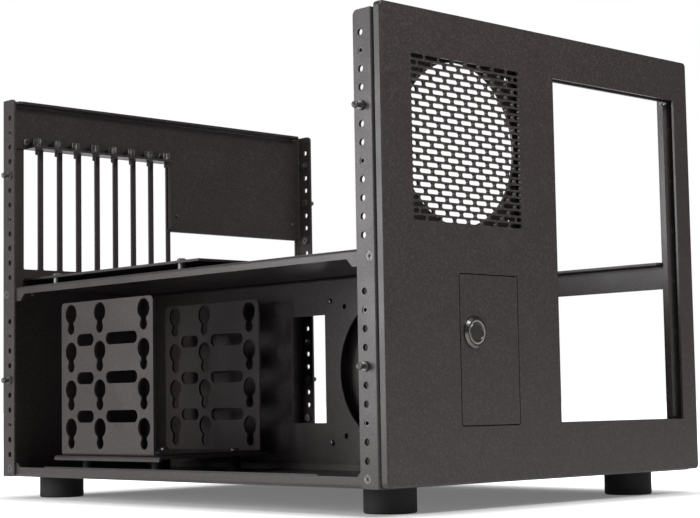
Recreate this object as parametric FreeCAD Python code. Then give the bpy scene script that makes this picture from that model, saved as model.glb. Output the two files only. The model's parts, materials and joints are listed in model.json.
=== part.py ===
"""Open computer chassis with a horizontal board tray. Front at -Y, +Z up, millimetres."""
import FreeCAD, Part
import math
import os

V = FreeCAD.Vector

# Sheet metal: thickness, inside bend radius, rounding of free corners
SHEET = 2.0
BEND = 0.6
CORNER = 4.0
FIT = 0.2

# Folded frame: depth over its outer faces, posts and top flanges
CHASSIS_D = 467.0
POST_D = 19.0
TOP_FLANGE = 13.0
TOP_FLANGE_INSET = 9.0
HEAD_ROOM = 38.4

# Rows of holes in the four posts; the stud rows count from the top
HOLE_PITCH = 12.7
HOLE_LOW = 18.8
HOLE_TOP = 16.0
HOLE_SETBACK = 12.0
HOLE_R = 2.4
STUD_ROWS = (4, 18)
INSERT_STEP = 3

# Front cover
COVER_OVERHANG = 1.0
COVER_RISE = 1.0
COVER_ABOVE = 3.0
COVER_D = 6.0
COVER_GAP = 2.5
COVER_CORNER = 3.5
COVER_EDGE = 1.2
COVER_STUD_INSET = 9.0

# Brick grille in the cover and the fan hole behind it, placed from the cover's left and top edges
GRILLE_INSET = 85.1
GRILLE_DROP = 90.6
GRILLE_ROWS = 25
GRILLE_SLOTS = 8
SLOT_PITCH = 14.2
SLOT_LEN = 12.6
SLOT_H = 3.3
ROW_PITCH = 4.67
FAN_HOLE_R = 58.5
FAN_PITCH = 105.0
FAN_SCREW_R = 2.15

# Bay window in the cover and the device bays behind it
WINDOW_W = 151.2
WINDOW_RIGHT = 18.5
WINDOW_LOW = 40.0
WINDOW_TOP = 32.8
BAY_MARGIN = 0.2
BAY_FLANGE = 6.4
BAY_PITCH = 41.28
BAY_COUNT = 6
BAY_HOLE_R = 1.6
BAY_HOLE_SIDE = 5.2
BAY_HOLE_UP = 2.5

# Switch plate, placed from the cover's left and bottom edges, and push button, placed from its centre
PLATE_INSET = 103.7
PLATE_RISE = 92.6
PLATE_W = 60.4
PLATE_H = 105.3
PLATE_GAP = 0.8
PLATE_CORNER = 1.5
STANDOFF_R = 3.0
STANDOFF_INSET = 7.0
SWITCH_OPENING_MARGIN = 15.0
BUTTON_LEFT = 15.9
BUTTON_UP = 12.1
BUTTON_R = 11.3
BUTTON_PROUD = 2.8
BUTTON_BEVEL = 1.6
BARREL_R = 9.2
BARREL_LEN = 16.0
BARREL_FLOOR = 4.0
RING_R = 8.4
CAP_R = 7.2
CAP_GAP = 0.3
CAP_LEN = 10.0
NUT_W = 22.0
NUT_H = 4.0
TERMINAL_R = 8.0
TERMINAL_H = 4.0
PIN_R = 0.6
PIN_LEN = 5.0

# Middle deck and bottom tray: flanges with a taller ear at each end
DECK_TOP = 162.7
DECK_STRIP = 6.5
DECK_EAR = 12.3
DECK_EAR_LEN = 23.0
DECK_BAY_BACK = 37.0
DECK_BAY_SIDE = 5.3
DECK_SCREW_SETBACK = 6.5
FLOOR_STRIP = 8.0
FLOOR_EAR = 11.6
FLOOR_EAR_LEN = 18.0
FLOOR_SCREW_Z = 6.6

# Rail along the right edge of the deck
RAIL_H = 21.0
RAIL_ABOVE = 4.6
RAIL_LIP = 14.0
RAIL_CHAMFER = 6.0

# Board tray, and its threaded holes in columns from the board's right edge and rows from its back edge
BOARD_COLUMNS = (16.51, 173.99, 298.45)
BOARD_ROWS = (10.16, 165.1, 237.49)
BOARD_BACK = 6.0
BOARD_THREAD_R = 1.5
TRAY_RISE = 7.0
TRAY_LEFT = 13.55
TRAY_RIGHT = 1.0
TRAY_FRONT = 5.0
TRAY_FLANGE = 8.0
TRAY_POST_R = 3.0
TRAY_POST_INSET = 5.5
TRAY_POST_FRONT = 28.3
TRAY_POST_BACK = 45.0

# Slot panel: expansion slots, connector opening and the cut-out of the rear frame behind them
SLOTS = 8
EXPANSION_PITCH = 20.32
EXPANSION_W = 15.4
EXPANSION_H = 106.7
EXPANSION_RISE = 8.5
SLOT_DIVIDER = 4.25
SLOT_MARGIN = 29.56
IO_W = 158.75
IO_H = 44.45
IO_RISE = 6.35
IO_MARGIN = 3.5
IO_BOARD = 9.5
PANEL_DROP = 7.7
PANEL_LAP = 15.0
PANEL_STEP = 31.4
PANEL_SHOULDER = 9.0
PANEL_SCREW_SIDE = 10.1
PANEL_SIDE = 2.5
CUT_LEFT = 9.5
CUT_RIGHT = 2.0
CUT_GAP = 0.4
CUT_FLANGE = 5.8
LEDGE_RISE = 1.7
LEDGE_D = 16.0
LEDGE_SCREW_LEFT = 7.1
LEDGE_SCREW_RIGHT = 1.1
LEDGE_SCREW_UP = 4.5
THUMB_R = 4.25
THUMB_H = 7.0
THUMB_SETBACK = 9.0
THUMB_SHANK = 7.2
PANEL_SCREW_HEAD = 6.0
PANEL_SCREW_R = 3.5

# Power supply opening low in the rear frame
PSU_W = 150.0
PSU_H = 86.0
PSU_MARGIN = 19.0
PSU_BORDER = 12.0
PSU_HOLES = ((6.0, 16.0), (6.0, 80.0), (144.0, 80.0), (120.0, 6.0))
PSU_HOLE_R = 2.0

# Upright wall of the lower compartment, placed from the left side and the front
WALL_INSET = 151.0
WALL_FLANGE = 12.0
WALL_FAN_Y = 140.3
WALL_FAN_Z = 83.8
WALL_WINDOW_Y = 237.4
WALL_WINDOW_Z = 86.2
WALL_WINDOW_W = 41.8
WALL_WINDOW_H = 88.7
WALL_SCREW_SPREAD = 69.2
WALL_SCREW_Z = (26.0, 141.5)
WALL_SCREW_R = 2.3
FAN_COVER_D = 8.5
FAN_COVER_FOOT = 6.0

# Drop-in floor plate, and the drive bracket on it, placed from the left side and the back
FLOOR_PLATE_FRONT = 66.5
FLOOR_PLATE_BACK = 59.0
FLOOR_PLATE_H = 9.0
FLOOR_PLATE_SHEET = 1.5
FLOOR_PLATE_MARGIN = 4.0
DRIVE_INSET = 15.5
DRIVE_BACK = 68.5
DRIVE_W = 111.5
DRIVE_L = 128.0
DRIVE_H = 127.75
DRIVE_COLUMNS = (14.0, 55.28, 115.6)
DRIVE_ROWS = 4
DRIVE_ROW_PITCH = 31.75
DRIVE_TOP_ROW = 9.75
KEY_R = 8.05
KEY_FOOT_R = 4.85
KEY_NECK = 7.4
KEY_DROP = 12.4
TIE_SLOT_H = 10.0
TIE_SLOT_DROP = 22.3
TIE_SLOT_MARGIN = 8.7
DRIVE_BASE_H = 4.0
DRIVE_BASE_SIDE = 1.5
DRIVE_BASE_END = 9.0
SPACER_H = 12.7
SPACER_R = 5.0
DRIVE_SCREW_INSET = 16.0

# Feet
FOOT_H = 18.5
FOOT_R = 18.7
FOOT_INSET_X = 40.0
FOOT_INSET_Y = 31.5
FOOT_EDGE = 1.5
FOOT_BORE_R = 2.2
FOOT_RECESS_R = 6.0
FOOT_RECESS_H = 9.0

# Fasteners
SCREW_R = 1.7
SCREW_HEAD_R = 3.6
SCREW_HEAD_H = 2.2
STUD_BALL_R = 2.5
BALL_SHOULDER = 0.6
STUD_NECK_R = 1.6
STUD_NECK_LEN = 1.4
STUD_BASE_R = 3.5
STUD_BASE_H = 1.8
COVER_BALL_R = 2.0
CLIP_WALL = 1.8

# Heights above the underside of the frame, from the deck up
TRAY_TOP = DECK_TOP + TRAY_RISE + SHEET
EXPANSION_Z0 = TRAY_TOP + EXPANSION_RISE
EXPANSION_Z1 = EXPANSION_Z0 + EXPANSION_H
IO_TOP = TRAY_TOP + IO_RISE + IO_H
LEDGE_TOP = EXPANSION_Z1 + LEDGE_RISE
CHASSIS_H = LEDGE_TOP + HEAD_ROOM
COVER_H = CHASSIS_H - COVER_RISE + COVER_ABOVE
HOLE_ROWS = int((CHASSIS_H - HOLE_LOW - HOLE_TOP) / HOLE_PITCH) + 1

# Levels in the part's own frame
BASE_Z = FOOT_H
TOP_Z = BASE_Z + CHASSIS_H
COVER_Z = BASE_Z + COVER_RISE
FLOOR_Z = BASE_Z + SHEET
DECK_Z = BASE_Z + DECK_TOP
DECK_UNDER = DECK_Z - SHEET
DECK_SCREW_Z = DECK_Z - DECK_EAR / 2
TRAY_Z = BASE_Z + TRAY_TOP
RAIL_Z = DECK_Z + RAIL_ABOVE
DRIVE_Z = FLOOR_Z + FLOOR_PLATE_SHEET + SPACER_H + SHEET
GRILLE_Z = COVER_Z + COVER_H - GRILLE_DROP
WINDOW_H = COVER_H - WINDOW_LOW - WINDOW_TOP
BAY_Z = COVER_Z + WINDOW_LOW + WINDOW_H / 2
PLATE_Z = COVER_Z + PLATE_RISE
BUTTON_Z = PLATE_Z + BUTTON_UP

# Places across the case: the width follows from the connector opening and the slots beside it
SLOT_SPAN = EXPANSION_PITCH * (SLOTS - 1)
CHASSIS_W = SHEET + IO_MARGIN + IO_W + SLOT_DIVIDER + EXPANSION_W / 2 + SLOT_SPAN + SLOT_MARGIN
COVER_W = CHASSIS_W + 2 * COVER_OVERHANG
SIDE_X = CHASSIS_W / 2
INNER_X = SIDE_X - SHEET
IO_RIGHT = INNER_X - IO_MARGIN
BOARD_RIGHT = IO_RIGHT - IO_BOARD
SLOT_X = -SIDE_X + SLOT_MARGIN
CUT_STEP_X = SLOT_X + SLOT_SPAN + EXPANSION_W / 2 + CUT_GAP
TRAY_X0 = BOARD_RIGHT - BOARD_COLUMNS[-1] - TRAY_LEFT
TRAY_X1 = BOARD_RIGHT + TRAY_RIGHT
GRILLE_X = GRILLE_INSET - COVER_W / 2
BAY_X = COVER_W / 2 - WINDOW_RIGHT - WINDOW_W / 2
PLATE_X = PLATE_INSET - COVER_W / 2
BUTTON_X = PLATE_X - BUTTON_LEFT
PSU_X = INNER_X - PSU_MARGIN - PSU_W / 2
WALL_X = -SIDE_X + WALL_INSET
DRIVE_X0 = -SIDE_X + DRIVE_INSET
DRIVE_X1 = DRIVE_X0 + DRIVE_W

# Places along the case, from the front of the button to the rear thumbscrews
CHASSIS_FRONT = COVER_D + COVER_GAP
DEPTH = BUTTON_PROUD + CHASSIS_FRONT + CHASSIS_D + SHEET + PANEL_SCREW_HEAD
COVER_Y = BUTTON_PROUD - DEPTH / 2
FRONT_Y = COVER_Y + CHASSIS_FRONT
REAR_Y = FRONT_Y + CHASSIS_D
FRONT_IN = FRONT_Y + SHEET
REAR_IN = REAR_Y - SHEET
FRONT_SEAT = FRONT_IN + BEND
REAR_SEAT = REAR_IN - BEND
TRAY_Y = REAR_Y - BOARD_BACK - BOARD_ROWS[-1] - TRAY_FRONT
DECK_BAY_Y = TRAY_Y - DECK_BAY_BACK
DRIVE_Y = REAR_Y - DRIVE_BACK


def at(plane, u, v, w):
    """Turns plane coordinates and a level across the plane into a point."""
    return {"xy": V(u, v, w), "xz": V(u, w, v), "yz": V(w, u, v)}[plane]


def rounded_wire(points, radii, plane, level):
    """Closed outline through the points, each corner rounded with its own radius."""
    corners = []
    for i, (u, v) in enumerate(points):
        corner = V(u, v, 0)
        back = (V(*points[i - 1], 0) - corner).normalize()
        ahead = (V(*points[(i + 1) % len(points)], 0) - corner).normalize()
        if radii[i] == 0:
            corners.append((corner, None, corner))
            continue
        half = back.getAngle(ahead) / 2
        reach = radii[i] / math.tan(half)
        inward = (back + ahead).normalize()
        middle = corner + inward * (radii[i] / math.sin(half) - radii[i])
        corners.append((corner + back * reach, middle, corner + ahead * reach))
    lift = lambda p: at(plane, p.x, p.y, level)
    edges = []
    for i, (start, middle, end) in enumerate(corners):
        if middle:
            edges.append(Part.Arc(lift(start), lift(middle), lift(end)).toShape())
        following = corners[(i + 1) % len(corners)][0]
        if end.distanceToPoint(following) > 1e-6:
            edges.append(Part.makeLine(lift(end), lift(following)))
    return Part.Wire(edges)


def prism(plane, points, low, high, radii=None):
    """Solid between two levels across the plane, over the given outline."""
    face = Part.Face(rounded_wire(points, radii or [0] * len(points), plane, low))
    return face.extrude(at(plane, 0, 0, high - low))


def panel(plane, u, v, width, height, low, high, radius=0):
    """Rectangular slab centred on (u, v), with one corner radius."""
    a, b = width / 2, height / 2
    points = [(u - a, v - b), (u + a, v - b), (u + a, v + b), (u - a, v + b)]
    return prism(plane, points, low, high, [radius] * 4)


def block(plane, u0, v0, u1, v1, low, high):
    """Plain rectangular slab between two corners."""
    return prism(plane, [(u0, v0), (u1, v0), (u1, v1), (u0, v1)], low, high)


def obround(plane, u, v, length, height, low, high):
    """Slot with two half-round ends, its length along the first axis."""
    r = height / 2
    a = length / 2 - r
    lift = lambda p, q: at(plane, u + p, v + q, low)
    edges = [
        Part.makeLine(lift(-a, -r), lift(a, -r)),
        Part.Arc(lift(a, -r), lift(a + r, 0), lift(a, r)).toShape(),
        Part.makeLine(lift(a, r), lift(-a, r)),
        Part.Arc(lift(-a, r), lift(-a - r, 0), lift(-a, -r)).toShape(),
    ]
    return Part.Face(Part.Wire(edges)).extrude(at(plane, 0, 0, high - low))


def rod(plane, u, v, radius, low, high):
    """Round bar across the plane."""
    return Part.makeCylinder(radius, high - low, at(plane, u, v, low), at(plane, 0, 0, 1))


def tube(plane, u, v, outer, inner, low, high):
    """Round bar with a through bore."""
    return rod(plane, u, v, outer, low, high).cut(rod(plane, u, v, inner, low, high))


def hexagon(plane, u, v, width, low, high):
    """Hexagonal bar, its width measured across the flats."""
    r = width / math.sqrt(3)
    turns = [math.pi / 6 + i * math.pi / 3 for i in range(6)]
    return prism(plane, [(u + r * math.cos(t), v + r * math.sin(t)) for t in turns], low, high)


def turned(origin, direction, profile):
    """Solid of revolution of (radius, height) points about an axis."""
    points = [V(r, 0, h) for r, h in profile]
    face = Part.Face(Part.makePolygon(points + points[:1]))
    solid = face.revolve(V(0, 0, 0), V(0, 0, 1), 360)
    solid.Placement = FreeCAD.Placement(origin, FreeCAD.Rotation(V(0, 0, 1), direction))
    return solid


def folded(plane, path, low, high, sheet=SHEET):
    """Bent sheet: the path is one side of it, and the metal lies inside the path's first bend."""
    steps = [(V(*b, 0) - V(*a, 0)).normalize() for a, b in zip(path, path[1:])]
    side = 1 if steps[0].cross(steps[1]).z > 0 else -1
    normals = [V(-s.y, s.x, 0) * side for s in steps]
    inner = []
    for i, (u, v) in enumerate(path):
        n1, n2 = normals[max(i - 1, 0)], normals[min(i, len(normals) - 1)]
        shift = (n1 + n2) * (sheet / (1 + n1.dot(n2)))
        inner.append((u + shift.x, v + shift.y))
    same = [a.cross(b).z * side > 0 for a, b in zip(steps, steps[1:])]
    along = [BEND + sheet if turn else BEND for turn in same]
    across = [BEND if turn else BEND + sheet for turn in same]
    radii = [0] + along + [0, 0] + across[::-1] + [0]
    return prism(plane, list(path) + inner[::-1], low, high, radii)


def group(solids):
    """Several separate solids as one shape."""
    return Part.makeCompound(solids)


def hole_row_z(row):
    """Height of a row of post holes."""
    return BASE_Z + HOLE_LOW + (HOLE_ROWS - 1 - row) * HOLE_PITCH


def post_faces():
    """The four outer post faces: outward side in X, face of the plate in Y, way inwards in Y."""
    return [(x, y, s) for x in (-1, 1) for y, s in ((FRONT_Y, 1), (REAR_Y, -1))]


def post_screws():
    """Places of the countersunk screws: outward side, Y and Z."""
    places = []
    for x, y, s in post_faces():
        places.append((x, y + s * DECK_SCREW_SETBACK, DECK_SCREW_Z))
        places.append((x, y + s * HOLE_SETBACK, BASE_Z + FLOOR_SCREW_Z))
    return places


def countersink(side, y, z, gap):
    """Screw form with a flat tapered head, flush with the outer face of a post."""
    reach = SHEET * 4
    profile = [(0, 0), (SCREW_HEAD_R + gap, 0), (SCREW_R + gap, SHEET), (SCREW_R + gap, reach), (0, reach)]
    return turned(V(side * SIDE_X, y, z), V(-side, 0, 0), profile)


def pan_screw(plane, u, v, seat, outward, shank, radius=SCREW_HEAD_R):
    """Round-headed screw with its head on a seat and its shank the other way."""
    top = seat + outward * SCREW_HEAD_H
    head = rod(plane, u, v, radius, min(seat, top), max(seat, top))
    tip = seat - outward * shank
    stem = rod(plane, u, v, SCREW_R, min(seat, tip), max(seat, tip))
    return head.fuse(stem)


def post_frame(y, s):
    """Plate with both sides bent inwards as punched posts and its top bent inwards as a flange."""
    edge = y + s * POST_D
    path = [(-s * SIDE_X, edge), (-s * SIDE_X, y), (s * SIDE_X, y), (s * SIDE_X, edge)]
    frame = folded("xy", path, BASE_Z, TOP_Z)
    profile = [(y, BASE_Z), (edge, BASE_Z), (edge, TOP_Z), (y, TOP_Z)]
    frame = frame.common(prism("yz", profile, -SIDE_X, SIDE_X, [0, CORNER, CORNER, CORNER / 2]))
    half = SIDE_X - TOP_FLANGE_INSET
    root = TOP_Z - BEND - SHEET
    frame = frame.cut(block("xz", -half - SHEET, root, half + SHEET, TOP_Z, y - SHEET, y + SHEET))
    flange_edge = y + s * TOP_FLANGE
    flange = folded("yz", [(flange_edge, TOP_Z), (y, TOP_Z), (y, root - SHEET)], -half, half)
    plan = [(-half, y), (half, y), (half, flange_edge), (-half, flange_edge)]
    flange = flange.common(prism("xy", plan, root - SHEET, TOP_Z, [0, 0, CORNER, CORNER]))
    cuts = []
    for x in (-1, 1):
        ends = sorted((x * (INNER_X - SHEET), x * (SIDE_X + SHEET)))
        for row in range(HOLE_ROWS):
            if abs(hole_row_z(row) - DECK_SCREW_Z) < HOLE_PITCH:
                continue
            r = STUD_NECK_R + FIT if row in STUD_ROWS else HOLE_R
            cuts.append(rod("yz", y + s * HOLE_SETBACK, hole_row_z(row), r, *ends))
    cuts += [countersink(x, v, z, FIT / 4) for x, v, z in post_screws() if abs(v - y) < POST_D]
    return frame.fuse(flange).cut(cuts)


def cover_studs_at():
    """Places of the studs that hold the front cover: X and Z."""
    low = COVER_Z + COVER_STUD_INSET * 2
    high = COVER_Z + COVER_H - COVER_STUD_INSET * 2
    x = COVER_W / 2 - COVER_STUD_INSET
    return [(-x, low), (x, low), (-x, high), (x, high)]


def plate_standoffs_at():
    """Places of the spacers behind the switch plate: X and Z."""
    a = PLATE_W / 2 - STANDOFF_INSET
    b = PLATE_H / 2 - STANDOFF_INSET
    return [(PLATE_X + i * a, PLATE_Z + j * b) for i in (-1, 1) for j in (-1, 1)]


def front_chassis():
    """Front frame with the fan hole, the bay opening and the opening behind the switch plate."""
    frame = post_frame(FRONT_Y, 1)
    through = (FRONT_Y - SHEET, FRONT_IN + SHEET)
    cuts = [rod("xz", GRILLE_X, GRILLE_Z, FAN_HOLE_R, *through)]
    for i in (-1, 1):
        for j in (-1, 1):
            x, z = GRILLE_X + i * FAN_PITCH / 2, GRILLE_Z + j * FAN_PITCH / 2
            cuts.append(rod("xz", x, z, FAN_SCREW_R, *through))
    half = WINDOW_W / 2 - BAY_MARGIN
    height = WINDOW_H - 2 * BAY_MARGIN
    cuts.append(panel("xz", BAY_X, BAY_Z, 2 * (half + SHEET + BEND), height, *through))
    opening_h = PLATE_H - 2 * SWITCH_OPENING_MARGIN
    opening_w = PLATE_W - SHEET * 2
    cuts.append(panel("xz", PLATE_X, PLATE_Z, opening_w, opening_h, *through, CORNER))
    cuts += [rod("xz", x, z, STUD_NECK_R + FIT / 4, *through) for x, z in cover_studs_at()]
    frame = frame.cut(cuts)
    for s in (-1, 1):
        edge = BAY_X + s * half
        path = [(edge + s * POST_D / 2, FRONT_Y), (edge, FRONT_Y), (edge, FRONT_Y + BAY_FLANGE)]
        flange = folded("xy", path, BAY_Z - height / 2 + SHEET, BAY_Z + height / 2 - SHEET)
        holes = []
        for i in range(BAY_COUNT):
            z = BAY_Z + BAY_HOLE_UP + (i - (BAY_COUNT - 1) / 2) * BAY_PITCH
            holes.append(rod("xz", edge + s * BAY_HOLE_SIDE, z, BAY_HOLE_R, *through))
        frame = frame.fuse(flange).cut(holes)
    return frame.removeSplitter()


def panel_screws_at():
    """Places of the thumbscrews that hold the slot panel: X and Z."""
    above = BASE_Z + IO_TOP + PANEL_STEP / 2
    return [
        (SLOT_X, DECK_UNDER - HOLE_R),
        (IO_RIGHT - SHEET * 3, DECK_UNDER - HOLE_R),
        (CUT_STEP_X + PANEL_SCREW_SIDE, above),
        (IO_RIGHT - SHEET * 3, above),
    ]


def rear_chassis():
    """Rear frame with a stepped, flanged cut-out for the slot panel and the power supply opening."""
    frame = post_frame(REAR_Y, -1)
    through = (REAR_IN - SHEET, REAR_Y + SHEET)
    left, right = -INNER_X + CUT_LEFT, INNER_X - CUT_RIGHT
    top, step = BASE_Z + LEDGE_TOP - SHEET, BASE_Z + IO_TOP
    stepped = [
        (left, DECK_Z), (right, DECK_Z), (right, step),
        (CUT_STEP_X, step), (CUT_STEP_X, top), (left, top),
    ]
    cuts = [prism("xz", stepped, *through)]
    opening = (PSU_W - 2 * PSU_BORDER, PSU_H - 2 * PSU_BORDER)
    cuts.append(panel("xz", PSU_X, FLOOR_Z + PSU_H / 2, *opening, *through, CORNER))
    for u, v in PSU_HOLES:
        cuts.append(rod("xz", PSU_X + PSU_W / 2 - u, FLOOR_Z + v, PSU_HOLE_R, *through))
    root = BEND + SHEET
    ends = (SLOT_X - EXPANSION_W / 2, CUT_STEP_X - root)
    cuts.append(block("xz", ends[0], top, ends[1], top + root, *through))
    path = [(REAR_Y - LEDGE_D, top), (REAR_Y, top), (REAR_Y, top + root * 2)]
    ledge = folded("yz", path, *ends)
    flanges = [ledge.cut([rod("xy", x, thumb_y(), SCREW_R, top, top + SHEET) for x in slot_centres()])]
    for edge, s, low in ((CUT_STEP_X, 1, step + root), (left, -1, TRAY_Z)):
        cuts.append(block("xz", edge, low, edge + s * root, top - root, *through))
        path = [(edge + s * root * 2, REAR_Y), (edge, REAR_Y), (edge, REAR_Y - CUT_FLANGE)]
        flanges.append(folded("xy", path, low, top - root))
    frame = frame.cut(cuts).fuse(flanges)
    holes = [rod("xz", x, z, SCREW_R + FIT / 4, *through) for x, z in panel_screws_at()]
    holes += [rod("xz", x, z, SCREW_R, *through) for x, z in ledge_screws_at()]
    return frame.cut(holes).removeSplitter()


def front_cover():
    """Shallow tray in front of the frame, with the grille, the bay window and the switch cut-out."""
    middle = COVER_Z + COVER_H / 2
    back = COVER_Y + COVER_D
    shell = panel("xz", 0, middle, COVER_W, COVER_H, COVER_Y, back, COVER_CORNER)
    rim = [e for e in shell.Edges if e.BoundBox.YMax < COVER_Y + FIT]
    shell = shell.makeFillet(COVER_EDGE, rim)
    inside = (COVER_W - 2 * SHEET, COVER_H - 2 * SHEET)
    cuts = [panel("xz", 0, middle, *inside, COVER_Y + SHEET, back, COVER_CORNER - SHEET)]
    through = (COVER_Y - SHEET, COVER_Y + SHEET * 2)
    cuts.append(panel("xz", BAY_X, BAY_Z, WINDOW_W, WINDOW_H, *through))
    opening = (PLATE_W + 2 * PLATE_GAP, PLATE_H + 2 * PLATE_GAP)
    cuts.append(panel("xz", PLATE_X, PLATE_Z, *opening, *through, PLATE_CORNER + PLATE_GAP))
    width = (GRILLE_SLOTS - 1) * SLOT_PITCH + SLOT_LEN
    short = SLOT_PITCH / 2 - (SLOT_PITCH - SLOT_LEN)
    for row in range(GRILLE_ROWS):
        z = GRILLE_Z + (row - (GRILLE_ROWS - 1) / 2) * ROW_PITCH
        offset = row % 2
        for i in range(GRILLE_SLOTS - offset):
            x = GRILLE_X + (i - (GRILLE_SLOTS - offset - 1) / 2) * SLOT_PITCH
            cuts.append(obround("xz", x, z, SLOT_LEN, SLOT_H, *through))
        if offset:
            for s in (-1, 1):
                x = GRILLE_X + s * (width - short) / 2
                cuts.append(obround("xz", x, z, short, SLOT_H, *through))
    return shell.cut(cuts)


def switch_plate():
    """Flat insert in the cover with a hole for the push button."""
    ends = (COVER_Y, COVER_Y + SHEET)
    plate = panel("xz", PLATE_X, PLATE_Z, PLATE_W, PLATE_H, *ends, PLATE_CORNER)
    return plate.cut(rod("xz", BUTTON_X, BUTTON_Z, BARREL_R + FIT, *ends))


def switch_plate_standoffs():
    """Spacers between the front frame and the switch plate."""
    ends = (COVER_Y + SHEET, FRONT_Y)
    return group([rod("xz", x, z, STANDOFF_R, *ends) for x, z in plate_standoffs_at()])


def button_axis():
    """Start of the push button's axis, on the face of the switch plate."""
    return V(BUTTON_X, COVER_Y, BUTTON_Z)


def power_button_body():
    """Bevelled flange and threaded barrel of the push button, with a stepped bore."""
    bore = CAP_R + CAP_GAP
    floor = BARREL_LEN - BARREL_FLOOR
    profile = [
        (RING_R, -BUTTON_PROUD), (BUTTON_R - BUTTON_BEVEL, -BUTTON_PROUD),
        (BUTTON_R, -BUTTON_PROUD + BUTTON_BEVEL), (BUTTON_R, 0), (BARREL_R, 0), (BARREL_R, BARREL_LEN),
        (0, BARREL_LEN), (0, floor), (bore, floor), (bore, SHEET), (RING_R, SHEET),
    ]
    return turned(button_axis(), V(0, 1, 0), profile)


def power_button_ring():
    """Light ring around the cap."""
    front = -BUTTON_PROUD + BUTTON_BEVEL / 4
    bore = CAP_R + CAP_GAP
    profile = [(bore, front), (RING_R, front), (RING_R, SHEET), (bore, SHEET)]
    return turned(button_axis(), V(0, 1, 0), profile)


def power_button_cap():
    """Sliding cap of the push button with a shallow dish in its face."""
    front = -BUTTON_PROUD
    dish = CAP_R - CAP_GAP * 4
    profile = [
        (0, front + CAP_GAP), (dish, front + CAP_GAP), (dish + CAP_GAP, front),
        (CAP_R - CAP_GAP, front), (CAP_R, front + CAP_GAP), (CAP_R, front + CAP_LEN), (0, front + CAP_LEN),
    ]
    return turned(button_axis(), V(0, 1, 0), profile)


def power_button_nut():
    """Hexagonal nut behind the switch plate."""
    ends = (COVER_Y + SHEET, COVER_Y + SHEET + NUT_H)
    nut = hexagon("xz", BUTTON_X, BUTTON_Z, NUT_W, *ends)
    return nut.cut(rod("xz", BUTTON_X, BUTTON_Z, BARREL_R, *ends))


def power_button_terminals():
    """Insulating block with four contact pins behind the barrel."""
    back = COVER_Y + BARREL_LEN
    end = back + TERMINAL_H
    block_shape = rod("xz", BUTTON_X, BUTTON_Z, TERMINAL_R, back, end)
    pins = []
    for i in (-1, 1):
        for j in (-1, 1):
            x, z = BUTTON_X + i * TERMINAL_R / 2, BUTTON_Z + j * TERMINAL_R / 2
            pins.append(rod("xz", x, z, PIN_R, back, end + PIN_LEN))
    return block_shape.fuse(pins)


def stud_back():
    """Head of a stud behind its sheet, as (radius, height) points."""
    return [(0, -SHEET * 2), (STUD_BASE_R, -SHEET * 2), (STUD_BASE_R, -SHEET), (STUD_NECK_R, -SHEET)]


def stud_ball(radius, neck):
    """Ball of a stud beyond its neck, as (radius, height) points."""
    shoulder = radius * BALL_SHOULDER
    end = neck + radius * 2
    points = [(STUD_NECK_R, neck), (radius, neck + shoulder), (radius, end - shoulder)]
    return points + [(radius / 2, end), (0, end)]


def cover_studs():
    """Ball studs on the front frame, facing the cover."""
    reach = CHASSIS_FRONT - SHEET - FIT
    profile = stud_back() + stud_ball(COVER_BALL_R, reach - COVER_BALL_R * 2)
    return group([turned(V(x, FRONT_Y, z), V(0, -1, 0), profile) for x, z in cover_studs_at()])


def cover_clips():
    """Sockets on the back of the cover that the studs snap into."""
    ends = (COVER_Y + SHEET, COVER_Y + COVER_D)
    inner = COVER_BALL_R + FIT
    return group([tube("xz", x, z, inner + CLIP_WALL, inner, *ends) for x, z in cover_studs_at()])


def slot_centres():
    """X of the expansion slots."""
    return [SLOT_X + i * EXPANSION_PITCH for i in range(SLOTS)]


def slot_panel():
    """Stepped plate on the back of the rear frame with the slots and the connector opening."""
    side = SIDE_X - PANEL_SIDE
    low, high, step = DECK_Z - PANEL_DROP, BASE_Z + LEDGE_TOP + PANEL_LAP, BASE_Z + IO_TOP + PANEL_STEP
    shoulder = CUT_STEP_X + PANEL_SHOULDER
    points = [(-side, low), (side, low), (side, step), (shoulder, step), (shoulder, high), (-side, high)]
    radii = [CORNER, CORNER, CORNER, BEND, CORNER, CORNER]
    plate = prism("xz", points, REAR_Y, REAR_Y + SHEET, radii)
    ends = (REAR_Y, REAR_Y + SHEET)
    slot_h = EXPANSION_Z1 - EXPANSION_Z0
    slot_z = BASE_Z + (EXPANSION_Z0 + EXPANSION_Z1) / 2
    cuts = [panel("xz", x, slot_z, EXPANSION_W, slot_h, *ends, BEND * 2) for x in slot_centres()]
    cuts.append(panel("xz", IO_RIGHT - IO_W / 2, BASE_Z + IO_TOP - IO_H / 2, IO_W, IO_H, *ends))
    holes = panel_screws_at() + tray_flange_screws_at() + ledge_screws_at()
    cuts += [rod("xz", x, z, SCREW_R, *ends) for x, z in holes]
    return plate.cut(cuts)


def panel_screws():
    """Thumbscrews through the slot panel into the rear frame."""
    back = REAR_Y + SHEET
    screws = []
    for x, z in panel_screws_at():
        head = rod("xz", x, z, PANEL_SCREW_R, back, back + PANEL_SCREW_HEAD)
        screws.append(head.fuse(rod("xz", x, z, SCREW_R, REAR_IN - SHEET, back)))
    return group(screws)


def tray_flange_screws_at():
    """Places of the screws that join the slot panel to the board tray: X and Z."""
    z = TRAY_Z - SHEET - TRAY_FLANGE / 2 + BEND
    return [(TRAY_X0 + TRAY_FLANGE * 2, z), (TRAY_X1 - TRAY_FLANGE * 2, z)]


def ledge_screws_at():
    """Places of the two screws over the ledge that hold the slot panel: X and Z."""
    z = BASE_Z + LEDGE_TOP + LEDGE_SCREW_UP
    return [(SLOT_X - LEDGE_SCREW_LEFT, z), (SLOT_X + SLOT_SPAN - LEDGE_SCREW_RIGHT, z)]


def ledge_screws():
    """Screws through the rear frame into the slot panel, over the ledge."""
    return group([pan_screw("xz", x, z, REAR_IN, -1, SHEET * 2) for x, z in ledge_screws_at()])


def thumb_y():
    """Y of the row of thumbscrews on the ledge."""
    return REAR_Y - THUMB_SETBACK


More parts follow.
